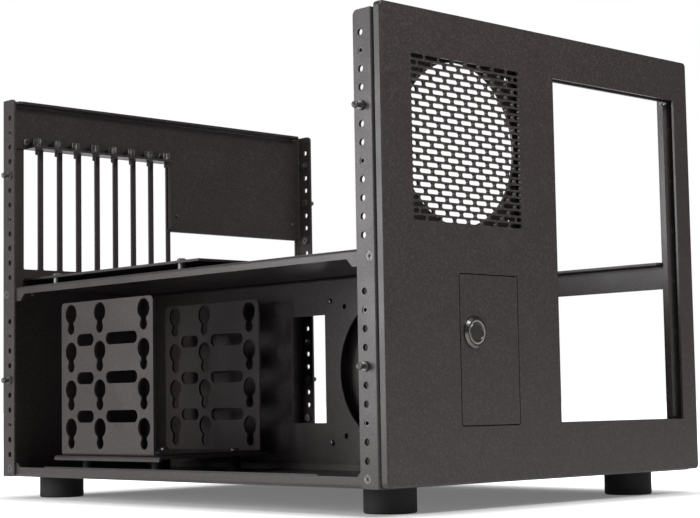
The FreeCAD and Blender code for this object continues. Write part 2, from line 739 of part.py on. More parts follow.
def slot_thumbscrews():
    """Thumbscrews that hold the cards on the ledge."""
    top = BASE_Z + LEDGE_TOP
    collar = THUMB_H / 5
    profile = [
        (0, -THUMB_SHANK), (SCREW_R, -THUMB_SHANK), (SCREW_R, 0),
        (THUMB_R - BEND, 0), (THUMB_R - BEND, collar), (THUMB_R, collar + BEND),
        (THUMB_R, THUMB_H - BEND), (THUMB_R - BEND, THUMB_H), (0, THUMB_H),
    ]
    places = [V(x, thumb_y(), top) for x in slot_centres()]
    return group([turned(place, V(0, 0, 1), profile) for place in places])


def ear_notch(y0, y1, ear_len, edge, strip, ears):
    """Outline of the long notch that leaves an ear at each end of a flange."""
    slope = abs(ears - strip)
    past = math.copysign(SHEET, ears - strip)
    return [
        (y0 + ear_len - SHEET, edge + ears + past), (y0 + ear_len + slope, edge + strip),
        (y1 - ear_len - slope, edge + strip), (y1 - ear_len + SHEET, edge + ears + past),
    ]


def mid_deck():
    """Deck with side flanges bent down, cut away beside the device bays."""
    right = INNER_X - SHEET
    low = DECK_Z - DECK_EAR
    path = [(-INNER_X, low), (-INNER_X, DECK_Z), (right, DECK_Z), (right, low)]
    deck = folded("xz", path, FRONT_SEAT, REAR_SEAT)
    notch = ear_notch(FRONT_SEAT, REAR_SEAT, DECK_EAR_LEN, DECK_Z, -DECK_STRIP, -DECK_EAR)
    cuts = [prism("yz", notch, -SIDE_X, SIDE_X)]
    bay_x = BAY_X - WINDOW_W / 2 - DECK_BAY_SIDE
    bay = [(bay_x, FRONT_IN), (SIDE_X, FRONT_IN), (SIDE_X, DECK_BAY_Y), (bay_x, DECK_BAY_Y)]
    cuts.append(prism("xy", bay, low, DECK_Z, [0, 0, 0, CORNER]))
    cuts += [countersink(x, y, z, FIT / 4) for x, y, z in post_screws() if z > BASE_Z + DECK_TOP / 2]
    cuts += [rod("xy", x, y, SCREW_R, DECK_UNDER, DECK_Z) for x, y in tray_posts_at()]
    return deck.cut(cuts)


def side_rail():
    """Rail between the right posts, with a lip beside the bays."""
    top, low = RAIL_Z, RAIL_Z - RAIL_H
    inner = INNER_X - RAIL_LIP
    rail = folded("xz", [(INNER_X, low), (INNER_X, top), (inner, top)], FRONT_SEAT, REAR_SEAT)
    lip_start = FRONT_Y + BAY_FLANGE + SHEET
    root = INNER_X - SHEET - BEND
    corner = [(inner, lip_start), (inner + RAIL_CHAMFER, lip_start), (inner, lip_start + RAIL_CHAMFER)]
    cuts = [block("xy", inner, y0, root, y1, top - SHEET - BEND, top)
            for y0, y1 in ((FRONT_SEAT, lip_start), (DECK_BAY_Y, REAR_SEAT))]
    cuts.append(prism("xy", corner, low, top))
    screws = [place for place in post_screws() if place[0] > 0 and place[2] > BASE_Z + DECK_TOP / 2]
    cuts += [countersink(x, y, z, FIT / 4) for x, y, z in screws]
    return rail.cut(cuts)


def tray_posts_at():
    """Places of the spacers that carry the board tray: X and Y."""
    xs = (TRAY_X0 + TRAY_POST_INSET, TRAY_X1 - TRAY_POST_INSET)
    ys = (TRAY_Y + TRAY_POST_FRONT, REAR_Y - TRAY_POST_BACK)
    return [(x, y) for x in xs for y in ys]


def board_holes_at():
    """Places of the threaded holes for the board: X and Y."""
    back = REAR_Y - BOARD_BACK
    return [(BOARD_RIGHT - u, back - v) for u in BOARD_COLUMNS for v in BOARD_ROWS]


def motherboard_tray():
    """Plate that carries the board, its rear edge bent down against the slot panel."""
    path = [(TRAY_Y, TRAY_Z), (REAR_Y, TRAY_Z), (REAR_Y, TRAY_Z - TRAY_FLANGE)]
    tray = folded("yz", path, TRAY_X0, TRAY_X1)
    under = TRAY_Z - SHEET
    cuts = [rod("xy", x, y, SCREW_R, under, TRAY_Z) for x, y in tray_posts_at()]
    cuts += [rod("xy", x, y, BOARD_THREAD_R, under, TRAY_Z) for x, y in board_holes_at()]
    cuts += [rod("xz", x, z, SCREW_R, REAR_IN, REAR_Y) for x, z in tray_flange_screws_at()]
    return tray.cut(cuts)


def tray_standoffs():
    """Bright spacers between the deck and the board tray."""
    ends = (DECK_Z, TRAY_Z - SHEET)
    return group([tube("xy", x, y, TRAY_POST_R, SCREW_R, *ends) for x, y in tray_posts_at()])


def tray_screws():
    """Screws through the board tray, its spacers and the deck, and through its rear flange."""
    shank = TRAY_Z - DECK_UNDER + SHEET
    screws = [pan_screw("xy", x, y, TRAY_Z, 1, shank) for x, y in tray_posts_at()]
    back = REAR_Y + SHEET
    screws += [pan_screw("xz", x, z, back, 1, SHEET * 3) for x, z in tray_flange_screws_at()]
    return group(screws)


def wall_screws_at():
    """Places of the screws that hold the fan cover: Y and Z."""
    middle = FRONT_Y + WALL_FAN_Y
    return [(middle + s * WALL_SCREW_SPREAD, BASE_Z + z) for s in (-1, 1) for z in WALL_SCREW_Z]


def compartment_wall():
    """Upright wall between floor and deck with a fan hole and a cable opening."""
    edge = WALL_X + WALL_FLANGE
    path = [(edge, FLOOR_Z), (WALL_X, FLOOR_Z), (WALL_X, DECK_UNDER), (edge, DECK_UNDER)]
    wall = folded("xz", path, FRONT_SEAT, REAR_SEAT)
    ends = (WALL_X, WALL_X + SHEET)
    fan_y, fan_z = FRONT_Y + WALL_FAN_Y, BASE_Z + WALL_FAN_Z
    cuts = [rod("yz", fan_y, fan_z, FAN_HOLE_R, *ends)]
    for i in (-1, 1):
        for j in (-1, 1):
            cuts.append(rod("yz", fan_y + i * FAN_PITCH / 2, fan_z + j * FAN_PITCH / 2, FAN_SCREW_R, *ends))
    window = (FRONT_Y + WALL_WINDOW_Y, BASE_Z + WALL_WINDOW_Z, WALL_WINDOW_W, WALL_WINDOW_H)
    cuts.append(panel("yz", *window, *ends, BEND))
    cuts += [rod("yz", y, z, SCREW_R, *ends) for y, z in wall_screws_at()]
    return wall.cut(cuts)


def fan_cover():
    """Shallow folded cover behind the fan hole of the wall, with a foot along each side."""
    seat = WALL_X + SHEET
    top = seat + FAN_COVER_D
    middle = FRONT_Y + WALL_FAN_Y
    web, end = WALL_SCREW_SPREAD - FAN_COVER_FOOT, WALL_SCREW_SPREAD + FAN_COVER_FOOT
    path = [
        (seat, middle + end), (seat, middle + web), (top, middle + web),
        (top, middle - web), (seat, middle - web), (seat, middle - end),
    ]
    low, high = (BASE_Z + z + s * FAN_COVER_FOOT for z, s in zip(WALL_SCREW_Z, (-1, 1)))
    cover = folded("xy", path, low, high)
    return cover.cut([rod("yz", y, z, SCREW_R, seat, seat + SHEET) for y, z in wall_screws_at()])


def wall_screws():
    """Screws through the wall into the feet of the fan cover."""
    places = wall_screws_at()
    return group([pan_screw("yz", y, z, WALL_X, -1, SHEET * 3, WALL_SCREW_R) for y, z in places])


def feet_at():
    """Places of the feet: X and Y."""
    x = SIDE_X - FOOT_INSET_X
    return [(s * x, y) for s in (-1, 1) for y in (FRONT_Y + FOOT_INSET_Y, REAR_Y - FOOT_INSET_Y)]


def bottom_tray():
    """Floor with side flanges bent up."""
    ears = BASE_Z + FLOOR_EAR
    path = [(-INNER_X, ears), (-INNER_X, BASE_Z), (INNER_X, BASE_Z), (INNER_X, ears)]
    tray = folded("xz", path, FRONT_SEAT, REAR_SEAT)
    notch = ear_notch(FRONT_SEAT, REAR_SEAT, FLOOR_EAR_LEN, BASE_Z, FLOOR_STRIP, FLOOR_EAR)
    cuts = [prism("yz", notch, -SIDE_X, SIDE_X)]
    cuts += [countersink(x, y, z, FIT / 4) for x, y, z in post_screws() if z < BASE_Z + DECK_TOP / 2]
    cuts += [rod("xy", x, y, FOOT_BORE_R, BASE_Z, FLOOR_Z) for x, y in feet_at()]
    return tray.cut(cuts)


def floor_plate():
    """Drop-in plate on the left half of the floor, its sides bent up."""
    left = -INNER_X + SHEET + FIT
    right = WALL_X - FLOOR_PLATE_MARGIN
    top = BASE_Z + FLOOR_PLATE_H
    path = [(left, top), (left, FLOOR_Z), (right, FLOOR_Z), (right, top)]
    ends = (FRONT_Y + FLOOR_PLATE_FRONT, REAR_Y - FLOOR_PLATE_BACK)
    return folded("xz", path, *ends, FLOOR_PLATE_SHEET)


def drive_columns_at():
    """Y of the keyhole columns, from the back."""
    return [DRIVE_Y - c for c in DRIVE_COLUMNS]


def keyhole(y, z, low, high):
    """Large round hole joined by a neck to a smaller round foot."""
    foot_z = z - KEY_DROP
    half = KEY_NECK / 2
    neck = block("yz", y - half, foot_z, y + half, z, low, high)
    foot = rod("yz", y, foot_z, KEY_FOOT_R, low, high)
    return rod("yz", y, z, KEY_R, low, high).fuse([neck, foot])


def drive_mount():
    """U-shaped drive bracket with keyholes and tie slots in both plates."""
    top = DRIVE_Z + DRIVE_H
    front = DRIVE_Y - DRIVE_L
    path = [(DRIVE_X0, top), (DRIVE_X0, DRIVE_Z), (DRIVE_X1, DRIVE_Z), (DRIVE_X1, top)]
    mount = folded("xz", path, front, DRIVE_Y)
    profile = [(front, DRIVE_Z), (DRIVE_Y, DRIVE_Z), (DRIVE_Y, top), (front, top)]
    mount = mount.common(prism("yz", profile, DRIVE_X0, DRIVE_X1, [0, 0, CORNER, CORNER]))
    ends = (DRIVE_X0 - SHEET, DRIVE_X1 + SHEET)
    columns = drive_columns_at()
    cuts = []
    for row in range(DRIVE_ROWS):
        z = top - DRIVE_TOP_ROW - row * DRIVE_ROW_PITCH
        for y in columns:
            cuts.append(keyhole(y, z, *ends))
        if row == DRIVE_ROWS - 1:
            continue
        for a, b in zip(columns, columns[1:]):
            length = a - b - 2 * TIE_SLOT_MARGIN
            cuts.append(obround("yz", (a + b) / 2, z - TIE_SLOT_DROP, length, TIE_SLOT_H, *ends))
    cuts += [rod("xy", x, y, SCREW_R, DRIVE_Z, DRIVE_Z + SHEET) for x, y in drive_screws_at()]
    return mount.cut(cuts)


def drive_screws_at():
    """Places of the screws in the bracket's floor: X and Y."""
    xs = (DRIVE_X0 + DRIVE_SCREW_INSET, DRIVE_X1 - DRIVE_SCREW_INSET)
    ys = (DRIVE_Y - DRIVE_L + DRIVE_SCREW_INSET, DRIVE_Y - DRIVE_SCREW_INSET)
    return [(x, y) for x in xs for y in ys]


def drive_mount_base():
    """Stand under the drive bracket, its sides bent down."""
    left, right = DRIVE_X0 - DRIVE_BASE_SIDE, DRIVE_X1 + DRIVE_BASE_SIDE
    low = DRIVE_Z - DRIVE_BASE_H
    path = [(left, low), (left, DRIVE_Z), (right, DRIVE_Z), (right, low)]
    base = folded("xz", path, DRIVE_Y - DRIVE_L - DRIVE_BASE_END, DRIVE_Y + DRIVE_BASE_END)
    return base.cut([rod("xy", x, y, SCREW_R, DRIVE_Z - SHEET, DRIVE_Z) for x, y in drive_screws_at()])


def drive_mount_spacers():
    """Rubber spacers between the floor plate and the stand."""
    ends = (FLOOR_Z + FLOOR_PLATE_SHEET, DRIVE_Z - SHEET)
    return group([tube("xy", x, y, SPACER_R, SCREW_R, *ends) for x, y in drive_screws_at()])


def drive_mount_screws():
    """Screws through the bracket and its stand into the spacers."""
    seat = DRIVE_Z + SHEET
    return group([pan_screw("xy", x, y, seat, 1, SPACER_H) for x, y in drive_screws_at()])


def feet():
    """Round rubber feet with a recess for the screw."""
    profile = [
        (FOOT_RECESS_R, 0), (FOOT_R - FOOT_EDGE, 0), (FOOT_R, FOOT_EDGE), (FOOT_R, FOOT_H),
        (FOOT_BORE_R, FOOT_H), (FOOT_BORE_R, FOOT_RECESS_H), (FOOT_RECESS_R, FOOT_RECESS_H),
    ]
    return group([turned(V(x, y, 0), V(0, 0, 1), profile) for x, y in feet_at()])


def foot_screws():
    """Screws through the feet into the floor, each with a nut inside."""
    solids = []
    for x, y in feet_at():
        head = rod("xy", x, y, FOOT_RECESS_R - SCREW_R, FOOT_RECESS_H - SCREW_HEAD_H, FOOT_RECESS_H)
        nut_top = FLOOR_Z + SCREW_HEAD_H
        nut = hexagon("xy", x, y, SCREW_HEAD_R * 2, FLOOR_Z, nut_top)
        stem = rod("xy", x, y, FOOT_BORE_R, FOOT_RECESS_H, nut_top + SHEET)
        solids.append(head.fuse([nut, stem]))
    return group(solids)


def ball_studs():
    """Ball studs on the post faces for the side covers."""
    collar = [(STUD_NECK_R, 0), (STUD_BASE_R, 0), (STUD_BASE_R, STUD_BASE_H), (STUD_NECK_R, STUD_BASE_H)]
    profile = stud_back() + collar + stud_ball(STUD_BALL_R, STUD_BASE_H + STUD_NECK_LEN)
    studs = []
    for x, y, s in post_faces():
        for row in STUD_ROWS:
            origin = V(x * SIDE_X, y + s * HOLE_SETBACK, hole_row_z(row))
            studs.append(turned(origin, V(x, 0, 0), profile))
    return group(studs)


def stud_inserts():
    """Nuts pressed into the post holes a few rows above and below each stud."""
    outer = HOLE_R - FIT / 4
    profile = [(STUD_NECK_R, -SHEET * 2), (STUD_BASE_R, -SHEET * 2), (STUD_BASE_R, -SHEET), (outer, -SHEET)]
    profile += [(outer, -SHEET / 4), (STUD_NECK_R, -SHEET / 4)]
    nuts = []
    for x, y, s in post_faces():
        for row in STUD_ROWS:
            for z in (hole_row_z(row - INSERT_STEP), hole_row_z(row + INSERT_STEP)):
                nuts.append(turned(V(x * SIDE_X, y + s * HOLE_SETBACK, z), V(x, 0, 0), profile))
    return group(nuts)


def chassis_screws():
    """Countersunk screws through the posts into the deck and the floor."""
    return group([countersink(x, y, z, 0) for x, y, z in post_screws()])


NODES = (
    front_cover, switch_plate, switch_plate_standoffs,
    power_button_body, power_button_ring, power_button_cap, power_button_nut, power_button_terminals,
    cover_studs, cover_clips, front_chassis, rear_chassis, slot_panel, panel_screws,
    ledge_screws, slot_thumbscrews, mid_deck, side_rail,
    motherboard_tray, tray_standoffs, tray_screws,
    compartment_wall, fan_cover, wall_screws, bottom_tray, floor_plate,
    drive_mount, drive_mount_base, drive_mount_spacers, drive_mount_screws,
    feet, foot_screws, ball_studs, stud_inserts, chassis_screws,
)


def main():
    """Writes each piece to its own file."""
    os.makedirs("parts", exist_ok=True)
    for node in NODES:
        shape = node()
        print(node.__name__, len(shape.Solids), shape.isValid(), round(shape.Volume))
        shape.exportStep(f"parts/{node.__name__}.step")


main()
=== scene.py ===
"""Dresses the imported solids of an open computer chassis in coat, metal and rubber, and lights them."""
import json
import math

import bmesh
import bpy
from mathutils import Matrix, Quaternion, Vector


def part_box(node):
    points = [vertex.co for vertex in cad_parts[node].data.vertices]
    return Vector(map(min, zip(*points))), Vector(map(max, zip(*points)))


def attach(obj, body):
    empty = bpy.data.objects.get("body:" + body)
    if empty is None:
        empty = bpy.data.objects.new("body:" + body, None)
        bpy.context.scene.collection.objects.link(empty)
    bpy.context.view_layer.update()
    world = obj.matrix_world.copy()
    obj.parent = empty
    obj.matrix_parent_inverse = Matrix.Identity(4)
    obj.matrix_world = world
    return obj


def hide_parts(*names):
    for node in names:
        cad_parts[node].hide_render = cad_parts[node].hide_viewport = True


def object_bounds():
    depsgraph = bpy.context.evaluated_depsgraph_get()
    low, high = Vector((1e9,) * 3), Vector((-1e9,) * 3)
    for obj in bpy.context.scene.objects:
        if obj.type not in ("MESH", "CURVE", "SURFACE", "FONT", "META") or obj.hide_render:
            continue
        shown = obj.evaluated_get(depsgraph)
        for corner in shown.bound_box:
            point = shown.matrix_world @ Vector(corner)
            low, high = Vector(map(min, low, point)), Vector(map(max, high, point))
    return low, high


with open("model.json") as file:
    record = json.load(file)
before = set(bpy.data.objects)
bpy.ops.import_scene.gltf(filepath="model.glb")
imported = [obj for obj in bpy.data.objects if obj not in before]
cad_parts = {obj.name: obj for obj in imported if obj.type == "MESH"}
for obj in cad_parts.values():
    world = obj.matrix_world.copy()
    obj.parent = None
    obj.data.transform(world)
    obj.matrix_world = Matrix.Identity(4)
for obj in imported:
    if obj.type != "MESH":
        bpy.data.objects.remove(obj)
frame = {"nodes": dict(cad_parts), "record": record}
CAD_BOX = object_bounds()

bl_info = {
    "name": "Open chassis looks",
    "version": (1, 0, 0),
    "blender": (4, 5, 0),
    "location": "View3D > Sidebar > Chassis",
    "description": "Powder coat, hardware and a studio for an open computer chassis",
    "category": "Object",
}

FRAME_BODY = "chassis"
COAT_SLOT = "powder_coat"

# Directions; the front of the case faces -Y
UP = Vector((0, 0, 1))
DOWN = Vector((0, 0, -1))
LEFT = Vector((-1, 0, 0))
AHEAD = Vector((0, -1, 0))
BEHIND = Vector((0, 1, 0))

# The photograph's width and the camera's focal length in pixels, and the width of the sensor in millimetres
PHOTO_W = 700
FOCAL_PX = 1692.54
SENSOR_W = 36.0

# Decimals of a metre to which points and sizes count as the same
POINT_DECIMALS = 6
SIZE_DECIMALS = 5
WELD = 10 ** -POINT_DECIMALS

# Sides and steps of the round forms, and the angle up to which their faces are shaded smooth
SCREW_SIDES = 48
STUD_SIDES = 40
FOOT_SIDES = 72
NUT_SIDES = 6
SIDES_PER_RIDGE = 4
HELIX_STEPS = 12
BALL_STEPS = 12
RIM_STEPS = 6
SMOOTH_ANGLE = math.radians(32)

# Turn from one fastener to the next, so that their recesses don't all stand alike
RECESS_TURN = 2.4

# Shares: of a thread's pitch, of a cross recess at its bottom, and of a domed head from its seat to its top
THREAD_DEPTH = 0.4
THREAD_RIDGE = 0.45
RECESS_TAPER = (0.35, 0.7, 1)
DOME = ((1, 1), (1, 0.6), (0.95, 0.35), (0.82, 0.14), (0.6, 0.03), (0.35, 0))

# Range in which nearly all of a noise texture lies
NOISE_LOW = 0.3
NOISE_HIGH = 0.7

# What the coat and the metal mirror: dim all round, and pale on one side, fully so from a given facing on
PALE_SIDE = (-0.45, 0.85, 0.25)
PALE_FACING = 0.7
DIM_MIRROR = 0.1
PALE_MIRROR = 0.3

# The room's light at the horizon as a share of that overhead, and the height at which it is full
HORIZON_SHARE = 0.15
OVERHEAD = 0.8

# Width of the floor, and of the faint clouds in its colour
FLOOR_W = 60
FLOOR_CLOUD = 0.4


class CoatSettings(bpy.types.PropertyGroup):
    """Powder coat on the folded sheets."""
    colour: bpy.props.FloatVectorProperty(
        name="Colour", description="Colour of the coat", subtype="COLOR", size=4,
        min=0.0, max=1.0, default=(0.0350, 0.0276, 0.0282, 1.0))
    speck: bpy.props.FloatVectorProperty(
        name="Specks", description="Colour of the grain's high points", subtype="COLOR", size=4,
        min=0.0, max=1.0, default=(0.068, 0.0545, 0.0555, 1.0))
    # Painted highlight: the lighter colour laid along the sheets' edges where they catch the light
    edge_highlight: bpy.props.FloatVectorProperty(
        name="Edges", description="Colour along rubbed edges", subtype="COLOR", size=4,
        min=0.0, max=1.0, default=(0.078, 0.066, 0.066, 1.0))
    # Share of the painted edge highlight's colour on a sharp edge
    edge_highlight_share: bpy.props.FloatProperty(
        name="Wear", description="Share of the edges' colour on a sharp edge",
        subtype="FACTOR", min=0.0, max=1.0, default=0.35)
    grain: bpy.props.FloatProperty(
        name="Grain", description="Width of one grain of the texture", unit="LENGTH", default=0.0014)
    height: bpy.props.FloatProperty(
        name="Grain height", description="Height of the grain", unit="LENGTH", default=0.00009)
    cloud: bpy.props.FloatProperty(
        name="Cloud", description="Width of the slow changes in gloss", unit="LENGTH", default=0.03)
    edge: bpy.props.FloatProperty(
        name="Edge radius", description="Radius that the coat gives to a cut edge",
        unit="LENGTH", default=0.0003)
    roughness: bpy.props.FloatProperty(
        name="Roughness", description="Roughness of the coat",
        subtype="FACTOR", min=0.0, max=1.0, default=0.35)
    gloss_change: bpy.props.FloatProperty(
        name="Gloss change", description="Change of the roughness either way in the slow changes",
        subtype="FACTOR", min=0.0, max=0.3, default=0.05)


class HardwareSettings(bpy.types.PropertyGroup):
    """Sizes and colours of the screws, studs, feet, clips and push button."""
    sheet: bpy.props.FloatProperty(
        name="Sheet", description="Thickness of the sheets", unit="LENGTH", default=0.002)
    head_height: bpy.props.FloatProperty(
        name="Pan head", description="Height of a pan head", unit="LENGTH", default=0.0022)
    shank: bpy.props.FloatProperty(
        name="Shank", description="Radius over the thread of a screw", unit="LENGTH", default=0.0017)
    pitch: bpy.props.FloatProperty(
        name="Pitch", description="Pitch of a screw's thread", unit="LENGTH", default=0.0007)
    wing: bpy.props.FloatProperty(
        name="Recess wing", description="Width of a cross recess's wing, as a share of the head's radius",
        subtype="FACTOR", min=0.1, max=0.5, default=0.26)
    ridges: bpy.props.IntProperty(
        name="Ridges", description="Ridges round a thumbscrew's head", min=6, default=9)
    ridge_depth: bpy.props.FloatProperty(
        name="Ridge depth", description="Depth between two ridges", unit="LENGTH", default=0.0007)
    panel_head: bpy.props.FloatProperty(
        name="Panel head", description="Height of the heads on the slot panel", unit="LENGTH", default=0.006)
    ball: bpy.props.FloatProperty(
        name="Ball", description="Radius of a stud's ball", unit="LENGTH", default=0.0025)
    neck: bpy.props.FloatProperty(
        name="Neck", description="Radius of a stud's neck", unit="LENGTH", default=0.0016)
    neck_length: bpy.props.FloatProperty(
        name="Neck length", description="Length of a stud's neck", unit="LENGTH", default=0.0014)
    collar: bpy.props.FloatProperty(
        name="Collar", description="Height of a stud's collar", unit="LENGTH", default=0.0018)
    foot_shank: bpy.props.FloatProperty(
        name="Foot shank", description="Radius of a foot's bore and of its screw",
        unit="LENGTH", default=0.0022)
    foot_recess: bpy.props.FloatProperty(
        name="Foot recess", description="Radius of the recess in a foot", unit="LENGTH", default=0.006)
    foot_depth: bpy.props.FloatProperty(
        name="Recess depth", description="Depth of the recess in a foot", unit="LENGTH", default=0.009)
    nut: bpy.props.FloatProperty(
        name="Nut", description="Width of a foot's nut across its flats", unit="LENGTH", default=0.0072)
    black: bpy.props.FloatVectorProperty(
        name="Black steel", description="Colour of the blackened screws", subtype="COLOR", size=4,
        min=0.0, max=1.0, default=(0.12, 0.117, 0.115, 1.0))
    zinc: bpy.props.FloatVectorProperty(
        name="Zinc", description="Colour of the plated screws and spacers", subtype="COLOR", size=4,
        min=0.0, max=1.0, default=(0.19, 0.19, 0.193, 1.0))
    nickel: bpy.props.FloatVectorProperty(
        name="Nickel", description="Colour of the push button", subtype="COLOR", size=4,
        min=0.0, max=1.0, default=(0.16, 0.155, 0.144, 1.0))
    ring: bpy.props.FloatVectorProperty(
        name="Light ring", description="Colour of the push button's ring", subtype="COLOR", size=4,
        min=0.0, max=1.0, default=(0.33, 0.318, 0.297, 1.0))
    ring_pale: bpy.props.FloatVectorProperty(
        name="Light ring, pale", description="Colour of the ring's paler patches", subtype="COLOR", size=4,
        min=0.0, max=1.0, default=(0.41, 0.398, 0.373, 1.0))
    plastic: bpy.props.FloatVectorProperty(
        name="Plastic", description="Colour of the moulded clips", subtype="COLOR", size=4,
        min=0.0, max=1.0, default=(0.014, 0.014, 0.015, 1.0))
    rubber: bpy.props.FloatVectorProperty(
        name="Rubber", description="Colour of the feet", subtype="COLOR", size=4,
        min=0.0, max=1.0, default=(0.016, 0.016, 0.017, 1.0))


class StageSettings(bpy.types.PropertyGroup):
    """Camera, lamps and floor."""
    camera: bpy.props.FloatVectorProperty(
        name="Camera", description="Place of the camera", subtype="TRANSLATION", unit="LENGTH", size=3,
        default=(-0.96542, -1.04226, 0.0762))
    yaw: bpy.props.FloatProperty(
        name="Yaw", description="Turn of the view from +Y towards +X", subtype="ANGLE", default=0.758)
    pitch: bpy.props.FloatProperty(
        name="Pitch", description="Rise of the view", subtype="ANGLE", default=0.085)
    roll: bpy.props.FloatProperty(
        name="Roll", description="Tilt of the picture", subtype="ANGLE", default=-0.017)
    key: bpy.props.FloatProperty(
        name="Key", description="Power of the low lamp on the left", unit="POWER", default=2.9)
    key_place: bpy.props.FloatVectorProperty(
        name="Key place", description="Place of the low lamp on the left", subtype="TRANSLATION",
        unit="LENGTH", size=3, default=(-0.9, 0.36, 0.3))
    key_width: bpy.props.FloatProperty(
        name="Key width", description="Width of the low lamp on the left", unit="LENGTH", default=0.5)
    key_beam: bpy.props.FloatProperty(
        name="Key beam", description="Angle of the beam of the low lamp on the left",
        subtype="ANGLE", default=math.radians(130))
    front: bpy.props.FloatProperty(
        name="Front", description="Power of the lamp at the front", unit="POWER", default=4.6)
    front_place: bpy.props.FloatVectorProperty(
        name="Front place", description="Place of the lamp at the front", subtype="TRANSLATION",
        unit="LENGTH", size=3, default=(-0.17, -0.85, 0.8))
    front_width: bpy.props.FloatProperty(
        name="Front width", description="Width of the lamp at the front", unit="LENGTH", default=0.3)
    top: bpy.props.FloatProperty(
        name="Top", description="Power of the lamp overhead", unit="POWER", default=16.0)
    top_place: bpy.props.FloatVectorProperty(
        name="Top place", description="Place of the lamp overhead", subtype="TRANSLATION",
        unit="LENGTH", size=3, default=(0.1, 0.2, 2.3))
    top_width: bpy.props.FloatProperty(
        name="Top width", description="Width of the lamp overhead", unit="LENGTH", default=1.8)
    back: bpy.props.FloatProperty(
        name="Back", description="Power of the lamp behind on the right", unit="POWER", default=14.0)
    back_place: bpy.props.FloatVectorProperty(
        name="Back place", description="Place of the lamp behind on the right", subtype="TRANSLATION",
        unit="LENGTH", size=3, default=(1.7, 1.3, 1.2))
    back_width: bpy.props.FloatProperty(
        name="Back width", description="Width of the lamp behind on the right", unit="LENGTH", default=1.2)
    sky: bpy.props.FloatProperty(
        name="Room", description="Strength of the light from overhead", default=0.5)
    floor: bpy.props.FloatVectorProperty(
        name="Floor", description="Colour of the floor", subtype="COLOR", size=4,
        min=0.0, max=1.0, default=(0.85, 0.85, 0.85, 1.0))
    glow: bpy.props.FloatProperty(
        name="Floor glow", description="Share of white that the floor keeps in a shadow",
        subtype="FACTOR", min=0.0, max=1.0, default=0.16)
    shadow: bpy.props.FloatProperty(
        name="Shadow", description="Distance from the case over which the floor turns white",
        unit="LENGTH", default=0.06)


def add_node(tree, kind, settings=None, inputs=None):
    """Adds a shader node, sets it up and feeds its inputs with values or with other nodes' outputs."""
    made = tree.nodes.new("ShaderNode" + kind)
    for name, value in (settings or {}).items():
        setattr(made, name, value)
    for name, value in (inputs or {}).items():
        socket = made.inputs[name]
        if isinstance(value, bpy.types.NodeSocket):
            tree.links.new(value, socket)
        else:
            socket.default_value = value
    return made


def start_finish(name, **sockets):
    """New material with its shader's plain sockets set; returns its tree, shader and object coordinates."""
    material = bpy.data.materials.new(name)
    material.use_nodes = True
    tree = material.node_tree
    shader = tree.nodes["Principled BSDF"]
    for key, value in sockets.items():
        shader.inputs[key.replace("_", " ")].default_value = value
    coords = add_node(tree, "TexCoord").outputs["Object"]
    return material, tree, shader, coords


def feed(tree, shader, **sockets):
    """Links outputs to the shader's sockets."""
    for key, value in sockets.items():
        tree.links.new(value, shader.inputs[key.replace("_", " ")])


def noise(tree, coords, width, detail=2.0):
    """Noise whose features are about the given width."""
    inputs = {"Vector": coords, "Scale": 1 / width, "Detail": detail, "Roughness": 0.6}
    return add_node(tree, "TexNoise", inputs=inputs).outputs["Fac"]


def spread(tree, value, low, high, to_low, to_high):
    """Maps a value from one range to another."""
    inputs = {"Value": value, "From Min": low, "From Max": high, "To Min": to_low, "To Max": to_high}
    return add_node(tree, "MapRange", inputs=inputs).outputs["Result"]


def ramp(tree, value, start, end):
    """Rises from 0 to 1 between two values."""
    return spread(tree, value, start, end, 0.0, 1.0)


def vary(tree, texture, at_low, at_high):
    """Lets a noise texture vary a value between two limits."""
    return spread(tree, texture, NOISE_LOW, NOISE_HIGH, at_low, at_high)


def choose(tree, test, otherwise, chosen):
    """One value where a test of the ray holds, and another elsewhere."""
    return spread(tree, test, 0.0, 1.0, otherwise, chosen)


def mix(tree, factor, first, second):
    """Mixes two colours; the node's sockets share their names, so they go by number."""
    inputs = {0: factor, 6: first, 7: second}
    return add_node(tree, "Mix", {"data_type": "RGBA"}, inputs).outputs[2]


def relief(tree, texture, strength, depth, **normal):
    """Normal of a surface that a texture raises."""
    inputs = {"Strength": strength, "Distance": depth, "Height": texture, **normal}
    return add_node(tree, "Bump", inputs=inputs).outputs["Normal"]


def vectors(tree, operation, *inputs, result="Vector"):
    """One step of reckoning with vectors."""
    return add_node(tree, "VectorMath", {"operation": operation}, dict(enumerate(inputs))).outputs[result]


def shade_of(colour, factor):
    """A colour made darker or lighter."""
    return [min(1.0, c * factor) for c in colour[:3]] + [1.0]


def powder_coat():
    """Fine-textured coat with a painted highlight: lighter along the cut edges, where they catch the light."""
    coat = bpy.context.scene.chassis_coat
    material, tree, shader, coords = start_finish(COAT_SLOT, Specular_IOR_Level=0.5)
    grain = noise(tree, coords, coat.grain, detail=3.0)
    cloud = noise(tree, coords, coat.cloud)
    soft = add_node(tree, "Bevel", {"samples": 4}, {"Radius": coat.edge}).outputs["Normal"]
    flat = add_node(tree, "NewGeometry").outputs["Normal"]
    agreement = vectors(tree, "DOT_PRODUCT", soft, flat, result="Value")
    # Mask of the painted highlight along the edges, where the rounded normal leaves the flat one
    edge = spread(tree, agreement, low=0.99, high=0.8, to_low=0.0, to_high=coat.edge_highlight_share)
    colour = mix(tree, ramp(tree, grain, start=0.48, end=0.68), list(coat.colour), list(coat.speck))
    # Lays the painted highlight's colour along the edges
    colour = mix(tree, edge, colour, list(coat.edge_highlight))
    rough = vary(tree, cloud, coat.roughness - coat.gloss_change, coat.roughness + coat.gloss_change)
    raised = relief(tree, grain, strength=0.55, depth=coat.height, Normal=soft)
    feed(tree, shader, Base_Color=colour, Roughness=rough, Normal=raised)
    return material


